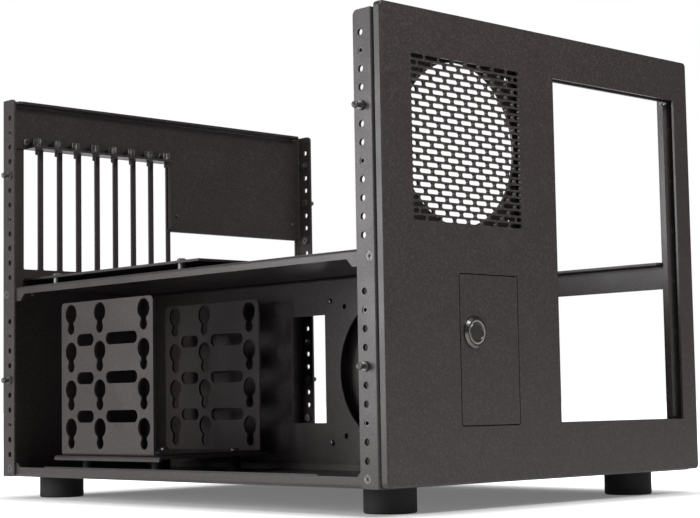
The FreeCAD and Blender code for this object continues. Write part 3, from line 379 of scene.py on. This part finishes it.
def blackened_steel():
    """Blackened steel of the screws and studs, rubbed a little lighter in patches."""
    black = bpy.context.scene.chassis_hardware.black
    material, tree, shader, coords = start_finish("black_steel", Metallic=0.8)
    patch = noise(tree, coords, width=0.002, detail=4.0)
    fine = noise(tree, coords, width=0.0003)
    rubbed = ramp(tree, patch, start=0.4, end=0.75)
    colour = mix(tree, rubbed, shade_of(black, factor=0.8), shade_of(black, factor=1.9))
    rough = vary(tree, patch, at_low=0.5, at_high=0.4)
    feed(tree, shader, Base_Color=colour, Roughness=rough,
         Normal=relief(tree, fine, strength=0.2, depth=0.00002))
    return material


def zinc_plate():
    """Dull zinc plate with a faint cloudy bloom."""
    zinc = bpy.context.scene.chassis_hardware.zinc
    material, tree, shader, coords = start_finish("bright_steel", Metallic=1.0)
    bloom = noise(tree, coords, width=0.0025, detail=3.0)
    colour = mix(tree, bloom, shade_of(zinc, factor=0.82), shade_of(zinc, factor=1.15))
    feed(tree, shader, Base_Color=colour, Roughness=vary(tree, bloom, at_low=0.45, at_high=0.55))
    return material


def turned_nickel():
    """Nickel plate over fine turning marks about the push button's axis."""
    nickel = bpy.context.scene.chassis_hardware.nickel
    low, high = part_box("power_button_cap")
    middle = (low + high) / 2
    material, tree, shader, coords = start_finish("button_metal", Metallic=1.0)
    place = add_node(tree, "Mapping", inputs={"Vector": coords, "Location": -middle}).outputs["Vector"]
    rings = add_node(tree, "TexWave", {"wave_type": "RINGS", "rings_direction": "Y"},
                     {"Vector": place, "Scale": 900.0, "Distortion": 0.4, "Detail": 1.0}).outputs["Fac"]
    colour = mix(tree, rings, shade_of(nickel, factor=0.9), shade_of(nickel, factor=1.06))
    rough = spread(tree, rings, low=0.0, high=1.0, to_low=0.19, to_high=0.27)
    feed(tree, shader, Base_Color=colour, Roughness=rough,
         Normal=relief(tree, rings, strength=0.12, depth=0.00001))
    return material


def milky_ring():
    """Unlit translucent ring."""
    hardware = bpy.context.scene.chassis_hardware
    material, tree, shader, coords = start_finish(
        "light_ring", Subsurface_Weight=0.2, Subsurface_Scale=0.001)
    patch = noise(tree, coords, width=0.002)
    colour = mix(tree, patch, list(hardware.ring), list(hardware.ring_pale))
    feed(tree, shader, Base_Color=colour, Roughness=vary(tree, patch, at_low=0.45, at_high=0.55))
    return material


def moulded_plastic():
    """Black moulded plastic with a spark-eroded skin."""
    plastic = bpy.context.scene.chassis_hardware.plastic
    material, tree, shader, coords = start_finish("plastic")
    skin = noise(tree, coords, width=0.0004, detail=3.0)
    colour = mix(tree, skin, list(plastic), shade_of(plastic, factor=2.0))
    feed(tree, shader, Base_Color=colour, Roughness=vary(tree, skin, at_low=0.45, at_high=0.6),
         Normal=relief(tree, skin, strength=0.3, depth=0.00002))
    return material


def matt_rubber():
    """Black rubber with a dull bloom and a fine skin."""
    rubber = bpy.context.scene.chassis_hardware.rubber
    material, tree, shader, coords = start_finish("rubber", Specular_IOR_Level=0.3)
    skin = noise(tree, coords, width=0.0005, detail=3.0)
    bloom = noise(tree, coords, width=0.009, detail=3.0)
    colour = mix(tree, ramp(tree, bloom, start=0.4, end=0.75), list(rubber), shade_of(rubber, factor=1.9))
    feed(tree, shader, Base_Color=colour, Roughness=vary(tree, bloom, at_low=0.62, at_high=0.78),
         Normal=relief(tree, skin, strength=0.35, depth=0.00003))
    return material


FINISHES = {
    COAT_SLOT: powder_coat,
    "black_steel": blackened_steel,
    "bright_steel": zinc_plate,
    "button_metal": turned_nickel,
    "light_ring": milky_ring,
    "plastic": moulded_plastic,
    "rubber": matt_rubber,
}


def finish_named(slot):
    """The material of a slot, made on its first use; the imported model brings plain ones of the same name."""
    name = "finish_" + slot
    found = bpy.data.materials.get(name)
    if found is None:
        found = FINISHES[slot]()
        found.name = name
    return found


def slot_of(node):
    """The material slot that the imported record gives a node."""
    return next(p["material_slot"] for p in frame["record"]["subparts"] if p["node"] == node)


def paint(piece, slot):
    """Puts a slot's finish on all of a piece."""
    if not piece.material_slots:
        piece.data.materials.append(None)
    for place in piece.material_slots:
        place.material = finish_named(slot)


def deselect():
    """Leaves edit mode and deselects everything."""
    if bpy.context.object and bpy.context.object.mode != "OBJECT":
        bpy.ops.object.mode_set(mode="OBJECT")
    bpy.ops.object.select_all(action="DESELECT")


def make_active(piece):
    """Selects one object alone."""
    deselect()
    piece.select_set(True)
    bpy.context.view_layer.objects.active = piece


def pick(kind, test):
    """In edit mode, selects the faces or edges whose middle passes the test."""
    bpy.ops.mesh.select_mode(type=kind)
    bpy.ops.mesh.select_all(action="DESELECT")
    data = bpy.context.active_object.data
    mesh = bmesh.from_edit_mesh(data)
    for part in mesh.faces if kind == "FACE" else mesh.edges:
        middle = sum((v.co for v in part.verts), Vector()) / len(part.verts)
        part.select_set(test(middle))
    mesh.select_flush_mode()
    bmesh.update_edit_mesh(data)


def turn(profile, sides):
    """Round or many-sided form about +Z: a disc extruded ring by ring through (radius, height) points."""
    radius, height = profile[0]
    deselect()
    bpy.ops.mesh.primitive_circle_add(
        vertices=sides, radius=radius, fill_type="NGON", location=(0, 0, height))
    piece = bpy.context.active_object
    bpy.ops.object.transform_apply(location=True, rotation=True, scale=True)
    bpy.ops.object.mode_set(mode="EDIT")
    bpy.ops.mesh.select_all(action="SELECT")
    for r, h in profile[1:]:
        bpy.ops.mesh.extrude_region_move(TRANSFORM_OT_translate={"value": (0, 0, h - height)})
        bpy.ops.transform.resize(value=(r / radius, r / radius, 1), center_override=(0, 0, h))
        radius, height = r, h
    bpy.ops.mesh.select_all(action="SELECT")
    bpy.ops.mesh.normals_make_consistent(inside=False)
    bpy.ops.object.mode_set(mode="OBJECT")
    return piece


def carve(piece, cutter):
    """Cuts one mesh out of another and removes the cutter."""
    make_active(piece)
    cut = piece.modifiers.new("Cut", "BOOLEAN")
    cut.operation = "DIFFERENCE"
    cut.solver = "EXACT"
    cut.object = cutter
    bpy.ops.object.modifier_apply(modifier=cut.name)
    make_active(cutter)
    bpy.ops.object.delete()
    make_active(piece)


def cut_cross(piece, reach, wing, depth):
    """Sinks a tapered cross recess into a head whose top is at the origin."""
    for angle in (0, math.pi / 2):
        deselect()
        bpy.ops.mesh.primitive_cube_add(size=1)
        blade = bpy.context.active_object
        bpy.ops.object.mode_set(mode="EDIT")
        bpy.ops.mesh.select_all(action="SELECT")
        bpy.ops.transform.resize(value=(2 * reach, wing, 2 * depth), center_override=(0, 0, 0))
        pick("FACE", lambda middle: middle.z < -depth / 2)
        bpy.ops.transform.resize(value=RECESS_TAPER, center_override=(0, 0, -depth))
        bpy.ops.object.mode_set(mode="OBJECT")
        blade.rotation_euler.z = angle
        bpy.ops.object.transform_apply(location=True, rotation=True, scale=True)
        carve(piece, blade)


def thread(radius, pitch, low, high):
    """Helical ridge about +Z, closed at both ends; its crest is at the given radius."""
    crest = pitch * THREAD_RIDGE
    deselect()
    place = (radius - crest, 0, low + crest)
    bpy.ops.mesh.primitive_circle_add(
        vertices=4, radius=crest, fill_type="NOTHING", location=place, rotation=(math.pi / 2, 0, 0))
    ridge = bpy.context.active_object
    bpy.ops.object.transform_apply(location=True, rotation=True, scale=True)
    screw = ridge.modifiers.new("Helix", "SCREW")
    screw.screw_offset = pitch
    screw.iterations = max(1, int((high - low) / pitch - 1))
    screw.steps = HELIX_STEPS
    screw.render_steps = HELIX_STEPS
    screw.use_merge_vertices = False
    bpy.ops.object.modifier_apply(modifier=screw.name)
    bpy.ops.object.mode_set(mode="EDIT")
    bpy.ops.mesh.select_all(action="SELECT")
    bpy.ops.mesh.fill_holes(sides=4)
    bpy.ops.mesh.select_all(action="SELECT")
    bpy.ops.mesh.normals_make_consistent(inside=False)
    bpy.ops.object.mode_set(mode="OBJECT")
    return ridge


def join(pieces):
    """Joins several meshes into the first."""
    deselect()
    for piece in pieces:
        piece.select_set(True)
    bpy.context.view_layer.objects.active = pieces[0]
    if len(pieces) > 1:
        bpy.ops.object.join()
    return bpy.context.active_object


def threaded(piece, radius, low, high):
    """Adds a thread between two heights of a shank."""
    pitch = bpy.context.scene.chassis_hardware.pitch
    return join([piece, thread(radius, pitch, low, high)])


def solids(node):
    """Boxes of a node's separate solids, each as its lowest and highest corner."""
    mesh = frame["nodes"][node].data
    keys = [tuple(round(c, POINT_DECIMALS) for c in v.co) for v in mesh.vertices]
    leads = {key: key for key in keys}

    def lead(key):
        while leads[key] != key:
            leads[key] = leads[leads[key]]
            key = leads[key]
        return key

    for polygon in mesh.polygons:
        first, *rest = (keys[i] for i in polygon.vertices)
        for other in rest:
            leads[lead(other)] = lead(first)
    groups = {}
    for key in leads:
        groups.setdefault(lead(key), []).append(key)
    boxes = []
    for points in groups.values():
        low = Vector(min(p[i] for p in points) for i in range(3))
        high = Vector(max(p[i] for p in points) for i in range(3))
        boxes.append((low, high))
    return sorted(boxes, key=lambda box: tuple(box[0]))


def fasteners(node, outward_of):
    """For each solid of a node: the middle of its outward face, its outward way, length and radius."""
    found = []
    for low, high in solids(node):
        outward = outward_of(low, high)
        middle, half = (low + high) / 2, (high - low) / 2
        along = max(range(3), key=lambda i: abs(outward[i]))
        radius = half[(along + 1) % 3]
        found.append((middle + outward * half[along], outward, 2 * half[along], radius))
    return found


def set_out(node, outward_of, model_of):
    """Models each size of a node's fasteners once, copies it to its places and joins the copies."""
    models = {}
    copies = []
    for index, (point, outward, length, radius) in enumerate(fasteners(node, outward_of)):
        size = (round(length, SIZE_DECIMALS), round(radius, SIZE_DECIMALS))
        if size not in models:
            models[size] = model_of(length, radius)
            make_active(models[size])
            bpy.ops.object.shade_smooth_by_angle(angle=SMOOTH_ANGLE)
        make_active(models[size])
        bpy.ops.object.duplicate()
        copy = bpy.context.active_object
        spin = Quaternion(UP, index * RECESS_TURN)
        copy.rotation_mode = "QUATERNION"
        copy.rotation_quaternion = UP.rotation_difference(outward) @ spin
        copy.location = point
        bpy.ops.object.transform_apply(location=True, rotation=True, scale=True)
        copies.append(copy)
    for model in models.values():
        make_active(model)
        bpy.ops.object.delete()
    dress(join(copies), node)


def dress(piece, node):
    """Names a new piece after the node it stands for, paints it and sets it on the chassis."""
    piece.name = node + "_detailed"
    piece.data.name = piece.name
    slot = slot_of(node)
    paint(piece, slot)
    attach(piece, FRAME_BODY)
    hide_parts(node)


def always(direction):
    """Outward way of fasteners that all point in one direction."""
    return lambda low, high: direction


def away_from_middle(low, high):
    """Outward way of what stands on the left or right side."""
    return Vector((math.copysign(1, low.x + high.x), 0, 0))


def long_way(low, high):
    """Upwards for an upright screw, and backwards for a lying one."""
    size = high - low
    return UP if size.z > size.y else BEHIND


def core_of(shank):
    """Radius of a shank at the bottom of its thread."""
    return shank - bpy.context.scene.chassis_hardware.pitch * THREAD_DEPTH


def chamfered_end(core, length):
    """Outline of the end of a screw, where a turned profile starts."""
    tip = core * 0.7
    taper = core * 0.5
    return [(tip, -length), (core, -length + taper)]


def flat_screw(length, radius):
    """Countersunk screw with its flat head at the origin, threaded below the taper."""
    hardware = bpy.context.scene.chassis_hardware
    core = core_of(hardware.shank)
    seat = -hardware.sheet
    rim = 0.00025
    head = [(core, seat), (radius - rim, -rim), (radius, -rim * 0.6), (radius - rim * 0.4, 0)]
    piece = turn(chamfered_end(core, length) + head, SCREW_SIDES)
    cut_cross(piece, reach=radius * 0.6, wing=radius * hardware.wing, depth=hardware.sheet * 0.8)
    return threaded(piece, hardware.shank, -length, seat)


def domed_blank(length, radius, core):
    """Unthreaded screw with a domed head whose top is at the origin."""
    seat = -bpy.context.scene.chassis_hardware.head_height
    head = [(core, seat)] + [(radius * across, seat * down) for across, down in DOME]
    return turn(chamfered_end(core, length) + head, SCREW_SIDES)


def pan_screw(length, radius):
    """Screw with a domed head whose top is at the origin, threaded below the head."""
    hardware = bpy.context.scene.chassis_hardware
    piece = domed_blank(length, radius, core_of(hardware.shank))
    cut_cross(piece, reach=radius * 0.58, wing=radius * hardware.wing, depth=hardware.head_height * 0.75)
    return threaded(piece, hardware.shank, -length, -hardware.head_height)


def ridged_head(radius, low, high, profile):
    """Turned form whose band between two heights has ridges for the fingers."""
    hardware = bpy.context.scene.chassis_hardware
    sides = hardware.ridges * SIDES_PER_RIDGE
    piece = turn(profile, sides)
    step = math.tau / sides
    band = radius * 0.97
    make_active(piece)
    bpy.ops.object.mode_set(mode="EDIT")

    def in_groove(middle):
        turns = round((math.atan2(middle.y, middle.x) - math.pi / 2) / step) % SIDES_PER_RIDGE
        return low < middle.z < high and middle.xy.length > band and turns == 0

    pick("EDGE", in_groove)
    shrink = 1 - hardware.ridge_depth / radius
    bpy.ops.transform.resize(value=(shrink, shrink, 1), center_override=(0, 0, (low + high) / 2))
    bpy.ops.object.mode_set(mode="OBJECT")
    return piece


def thumbscrew(length, radius):
    """Ridged thumbscrew with a collar under its dished head, its top at the origin."""
    hardware = bpy.context.scene.chassis_hardware
    core = core_of(hardware.shank)
    head = radius * 1.65
    collar = head * 0.8
    rim = 0.0005
    dish = rim * 0.6
    profile = [
        (core * 0.4, -length), (core * 0.8, -length + core * 0.2), (core, -length + core * 0.7),
        (core, -head), (radius - 2 * rim, -head), (radius - rim, -head + rim / 2), (radius - rim, -collar),
        (radius, -collar + rim), (radius, -rim), (radius - rim * 0.4, -rim * 0.35), (radius - rim, 0),
        (radius * 0.62, 0), (radius * 0.56, -dish), (radius * 0.3, -dish),
    ]
    piece = ridged_head(radius, -collar + rim / 2, -rim / 2, profile)
    return threaded(piece, hardware.shank, -length, -head)


def panel_thumbscrew(length, radius):
    """Ridged thumbscrew with a cross recess, its top at the origin."""
    hardware = bpy.context.scene.chassis_hardware
    core = core_of(hardware.shank)
    head = hardware.panel_head
    rim = 0.0006
    profile = chamfered_end(core, length) + [
        (core, -head), (radius - rim, -head), (radius, -head + rim), (radius, -rim), (radius - rim, 0),
        (radius * 0.5, 0),
    ]
    piece = ridged_head(radius, -head + rim / 2, -rim / 2, profile)
    cut_cross(piece, reach=radius * 0.55, wing=radius * hardware.wing, depth=head * 0.4)
    return threaded(piece, hardware.shank, -length, -head)


def ball_stud(length, radius):
    """Stud with a collar and a round ball, its end at the origin."""
    hardware = bpy.context.scene.chassis_hardware
    ball, neck = hardware.ball, hardware.neck
    collar_top = -ball * 2 - hardware.neck_length
    collar_low = collar_top - hardware.collar
    back = collar_low - hardware.sheet
    profile = [
        (radius * 0.9, -length), (radius, -length + radius * 0.1), (radius, back), (neck, back),
        (neck, collar_low), (radius, collar_low), (radius, collar_top - radius * 0.08),
        (radius * 0.92, collar_top), (neck, collar_top),
    ]
    at_neck = math.pi - math.asin(neck / ball)
    at_end = 0.25
    for i in range(BALL_STEPS + 1):
        angle = at_neck + (at_end - at_neck) * i / BALL_STEPS
        profile.append((ball * math.sin(angle), -ball + ball * math.cos(angle)))
    profile.append((ball * 0.12, 0))
    return turn(profile, STUD_SIDES)


def foot_screw(length, radius):
    """Screw of a foot with its head at the origin and a nut on the floor above."""
    hardware = bpy.context.scene.chassis_hardware
    piece = domed_blank(length, radius, core_of(hardware.foot_shank))
    cut_cross(piece, reach=radius * 0.55, wing=radius * hardware.wing, depth=hardware.head_height * 0.75)
    nut_low = -length + hardware.sheet
    nut_high = nut_low + hardware.head_height
    corner = hardware.nut / math.sqrt(3)
    chamfer = 0.0003
    nut = turn([(corner - chamfer, nut_low), (corner, nut_low + chamfer), (corner, nut_high)], NUT_SIDES)
    return threaded(join([piece, nut]), hardware.foot_shank, -length, -hardware.head_height)


def rubber_foot(length, radius):
    """Round foot standing on its rounded lower rim, with a recess for its screw; its sole at the origin."""
    hardware = bpy.context.scene.chassis_hardware
    bore, recess, depth = hardware.foot_shank, hardware.foot_recess, hardware.foot_depth
    rim = 0.0016
    bevel = 0.0007
    profile = [(bore, -depth), (bore, -length), (radius - bevel, -length), (radius, -length + bevel)]
    for i in range(RIM_STEPS + 1):
        angle = math.pi / 2 * i / RIM_STEPS
        profile.append((radius - rim + rim * math.cos(angle), -rim + rim * math.sin(angle)))
    profile += [(recess + bevel, 0), (recess, -bevel), (recess, -depth), (bore, -depth)]
    piece = turn(profile, FOOT_SIDES)
    make_active(piece)
    bpy.ops.object.mode_set(mode="EDIT")
    pick("FACE", lambda middle: abs(middle.z + depth) < WELD and middle.xy.length < bore / 2)
    bpy.ops.mesh.delete(type="FACE")
    bpy.ops.mesh.select_all(action="SELECT")
    bpy.ops.mesh.remove_doubles(threshold=WELD)
    bpy.ops.mesh.normals_make_consistent(inside=False)
    bpy.ops.object.mode_set(mode="OBJECT")
    return piece


class CHASSIS_OT_coat_sheets(bpy.types.Operator):
    """Gives every folded sheet its powder coat"""
    bl_idname = "chassis.coat_sheets"
    bl_label = "Coat the sheets"

    def execute(self, context):
        for name, node in frame["nodes"].items():
            if slot_of(name) == COAT_SLOT:
                paint(node, COAT_SLOT)
        return {"FINISHED"}


class CHASSIS_OT_finish_small_parts(bpy.types.Operator):
    """Gives the spacers, nuts, clips and contacts their finishes"""
    bl_idname = "chassis.finish_small_parts"
    bl_label = "Finish the small parts"

    def execute(self, context):
        for name, node in frame["nodes"].items():
            if slot_of(name) != COAT_SLOT:
                paint(node, slot_of(name))
        return {"FINISHED"}


class CHASSIS_OT_recessed_screws(bpy.types.Operator):
    """Makes the screws with cross recesses"""
    bl_idname = "chassis.recessed_screws"
    bl_label = "Recessed screws"

    def execute(self, context):
        set_out("chassis_screws", away_from_middle, flat_screw)
        set_out("ledge_screws", always(AHEAD), pan_screw)
        set_out("wall_screws", always(LEFT), pan_screw)
        set_out("drive_mount_screws", always(UP), pan_screw)
        set_out("tray_screws", long_way, pan_screw)
        return {"FINISHED"}


class CHASSIS_OT_thumbscrews(bpy.types.Operator):
    """Makes the ridged thumbscrews over the slots and on the slot panel"""
    bl_idname = "chassis.thumbscrews"
    bl_label = "Thumbscrews"

    def execute(self, context):
        set_out("slot_thumbscrews", always(UP), thumbscrew)
        set_out("panel_screws", always(BEHIND), panel_thumbscrew)
        return {"FINISHED"}


class CHASSIS_OT_ball_studs(bpy.types.Operator):
    """Makes the ball studs on the posts"""
    bl_idname = "chassis.ball_studs"
    bl_label = "Ball studs"

    def execute(self, context):
        set_out("ball_studs", away_from_middle, ball_stud)
        return {"FINISHED"}


class CHASSIS_OT_feet(bpy.types.Operator):
    """Makes the rubber feet and their screws"""
    bl_idname = "chassis.feet"
    bl_label = "Feet"

    def execute(self, context):
        set_out("feet", always(DOWN), rubber_foot)
        set_out("foot_screws", always(DOWN), foot_screw)
        return {"FINISHED"}


class CHASSIS_OT_stage(bpy.types.Operator):
    """Sets up the camera, the lamps, the floor and the white surround"""
    bl_idname = "chassis.stage"
    bl_label = "Stage"

    def execute(self, context):
        stage = context.scene.chassis_stage
        deselect()
        self.set_camera(context, stage)
        self.lay_floor(stage)
        self.add_lamp("key", stage.key, stage.key_place, stage.key_width, stage.key_beam)
        self.add_lamp("front", stage.front, stage.front_place, stage.front_width)
        self.add_lamp("top", stage.top, stage.top_place, stage.top_width)
        self.add_lamp("back", stage.back, stage.back_place, stage.back_width)
        self.surround(context, stage)
        context.scene.view_settings.view_transform = "Standard"
        return {"FINISHED"}

    def set_camera(self, context, stage):
        """Stands the camera where the photograph was taken from."""
        bpy.ops.object.camera_add()
        camera = context.active_object
        camera.name = "camera"
        yaw, pitch, roll = stage.yaw, stage.pitch, stage.roll
        across = Vector((math.cos(yaw), -math.sin(yaw), 0))
        ahead = Vector((math.sin(yaw) * math.cos(pitch), math.cos(yaw) * math.cos(pitch), math.sin(pitch)))
        above = across.cross(ahead)
        right = across * math.cos(roll) + above * math.sin(roll)
        upward = above * math.cos(roll) - across * math.sin(roll)
        turned = Matrix((right, upward, -ahead)).transposed()
        camera.matrix_world = Matrix.Translation(stage.camera) @ turned.to_4x4()
        camera.data.sensor_width = SENSOR_W
        camera.data.lens = FOCAL_PX / PHOTO_W * SENSOR_W
        context.scene.camera = camera

    def seen_plainly(self, tree, path):
        """1 for rays that reach the camera directly or through clear matter, and 0 for others."""
        inputs = {0: path["Is Camera Ray"], 1: path["Is Transmission Ray"]}
        return add_node(tree, "Math", {"operation": "MAXIMUM"}, inputs).outputs[0]

    def clear_of_case(self, tree, coords):
        """Distance of a place on the floor from the case's footprint."""
        half = (CAD_BOX[1] - CAD_BOX[0]) / 2
        away = vectors(tree, "ABSOLUTE", coords)
        past = vectors(tree, "SUBTRACT", away, half)
        outside = vectors(tree, "MAXIMUM", past, (0, 0, 0))
        return vectors(tree, "LENGTH", outside, result="Value")

    def lay_floor(self, stage):
        """Lays a white floor that keeps the case's shadow."""
        deselect()
        bpy.ops.mesh.primitive_plane_add(size=FLOOR_W)
        floor = bpy.context.active_object
        floor.name = "floor"
        material = bpy.data.materials.new("floor")
        material.use_nodes = True
        tree = material.node_tree
        tree.nodes.clear()
        coords = add_node(tree, "TexCoord").outputs["Object"]
        paper = noise(tree, coords, FLOOR_CLOUD)
        colour = mix(tree, paper, shade_of(stage.floor, factor=0.99), shade_of(stage.floor, factor=1.01))
        matt = add_node(tree, "BsdfDiffuse", inputs={"Color": colour}).outputs[0]
        path = add_node(tree, "LightPath").outputs
        shine = spread(tree, self.clear_of_case(tree, coords), 0.0, stage.shadow, stage.glow, 1.0)
        mirrored = choose(tree, path["Is Glossy Ray"], otherwise=0.0, chosen=stage.glow)
        glow = choose(tree, self.seen_plainly(tree, path), otherwise=mirrored, chosen=shine)
        white = add_node(tree, "Emission", inputs={"Strength": glow}).outputs[0]
        both = add_node(tree, "AddShader", inputs={0: matt, 1: white}).outputs[0]
        add_node(tree, "OutputMaterial", inputs={"Surface": both})
        floor.data.materials.append(material)

    def add_lamp(self, name, power, place, width, beam=math.pi):
        """Adds a square lamp that faces the middle of the case."""
        middle = (CAD_BOX[0] + CAD_BOX[1]) / 2
        bpy.ops.object.light_add(type="AREA", location=place)
        lamp = bpy.context.active_object
        lamp.name = name
        lamp.data.energy = power
        lamp.data.size = width
        lamp.data.spread = beam
        lamp.rotation_euler = (middle - place).to_track_quat("-Z", "Y").to_euler()

    def surround(self, context, stage):
        """Sets the world: white to the eye, light from overhead, and pale on one side in what mirrors it."""
        world = bpy.data.worlds.new("surround")
        world.use_nodes = True
        context.scene.world = world
        tree = world.node_tree
        tree.nodes.clear()
        path = add_node(tree, "LightPath").outputs
        way = add_node(tree, "TexCoord").outputs["Generated"]
        facing = vectors(tree, "DOT_PRODUCT", way, PALE_SIDE, result="Value")
        mirrored = spread(tree, facing, 0.0, PALE_FACING, DIM_MIRROR, PALE_MIRROR)
        height = add_node(tree, "SeparateXYZ", inputs={0: way}).outputs["Z"]
        room = spread(tree, height, 0.0, OVERHEAD, stage.sky * HORIZON_SHARE, stage.sky)
        lit = choose(tree, path["Is Glossy Ray"], otherwise=room, chosen=mirrored)
        strength = choose(tree, self.seen_plainly(tree, path), otherwise=lit, chosen=1.0)
        inputs = {"Color": (1, 1, 1, 1), "Strength": strength}
        sky = add_node(tree, "Background", inputs=inputs).outputs[0]
        add_node(tree, "OutputWorld", inputs={"Surface": sky})


class CHASSIS_PT_panel(bpy.types.Panel):
    """Lists the steps and their settings"""
    bl_idname = "CHASSIS_PT_panel"
    bl_label = "Open chassis"
    bl_space_type = "VIEW_3D"
    bl_region_type = "UI"
    bl_category = "Chassis"

    def draw(self, context):
        scene = context.scene
        for operator in OPERATORS:
            self.layout.operator(operator.bl_idname)
        for group in (scene.chassis_coat, scene.chassis_hardware, scene.chassis_stage):
            box = self.layout.box()
            for name in group.bl_rna.properties.keys():
                if name not in ("rna_type", "name"):
                    box.prop(group, name)


SETTINGS = (CoatSettings, HardwareSettings, StageSettings)
OPERATORS = (
    CHASSIS_OT_coat_sheets,
    CHASSIS_OT_finish_small_parts,
    CHASSIS_OT_recessed_screws,
    CHASSIS_OT_thumbscrews,
    CHASSIS_OT_ball_studs,
    CHASSIS_OT_feet,
    CHASSIS_OT_stage,
)
CLASSES = SETTINGS + OPERATORS + (CHASSIS_PT_panel,)


def register():
    """Registers the classes and hangs the settings on the scene."""
    for cls in CLASSES:
        bpy.utils.register_class(cls)
    bpy.types.Scene.chassis_coat = bpy.props.PointerProperty(type=CoatSettings)
    bpy.types.Scene.chassis_hardware = bpy.props.PointerProperty(type=HardwareSettings)
    bpy.types.Scene.chassis_stage = bpy.props.PointerProperty(type=StageSettings)


def unregister():
    """Takes the settings off the scene and the classes out."""
    del bpy.types.Scene.chassis_stage
    del bpy.types.Scene.chassis_hardware
    del bpy.types.Scene.chassis_coat
    for cls in reversed(CLASSES):
        bpy.utils.unregister_class(cls)


def main():
    """Registers the classes and runs the steps in order."""
    register()
    bpy.ops.chassis.coat_sheets()
    bpy.ops.chassis.finish_small_parts()
    bpy.ops.chassis.recessed_screws()
    bpy.ops.chassis.thumbscrews()
    bpy.ops.chassis.ball_studs()
    bpy.ops.chassis.feet()
    bpy.ops.chassis.stage()


if __name__ == "__main__":
    main()
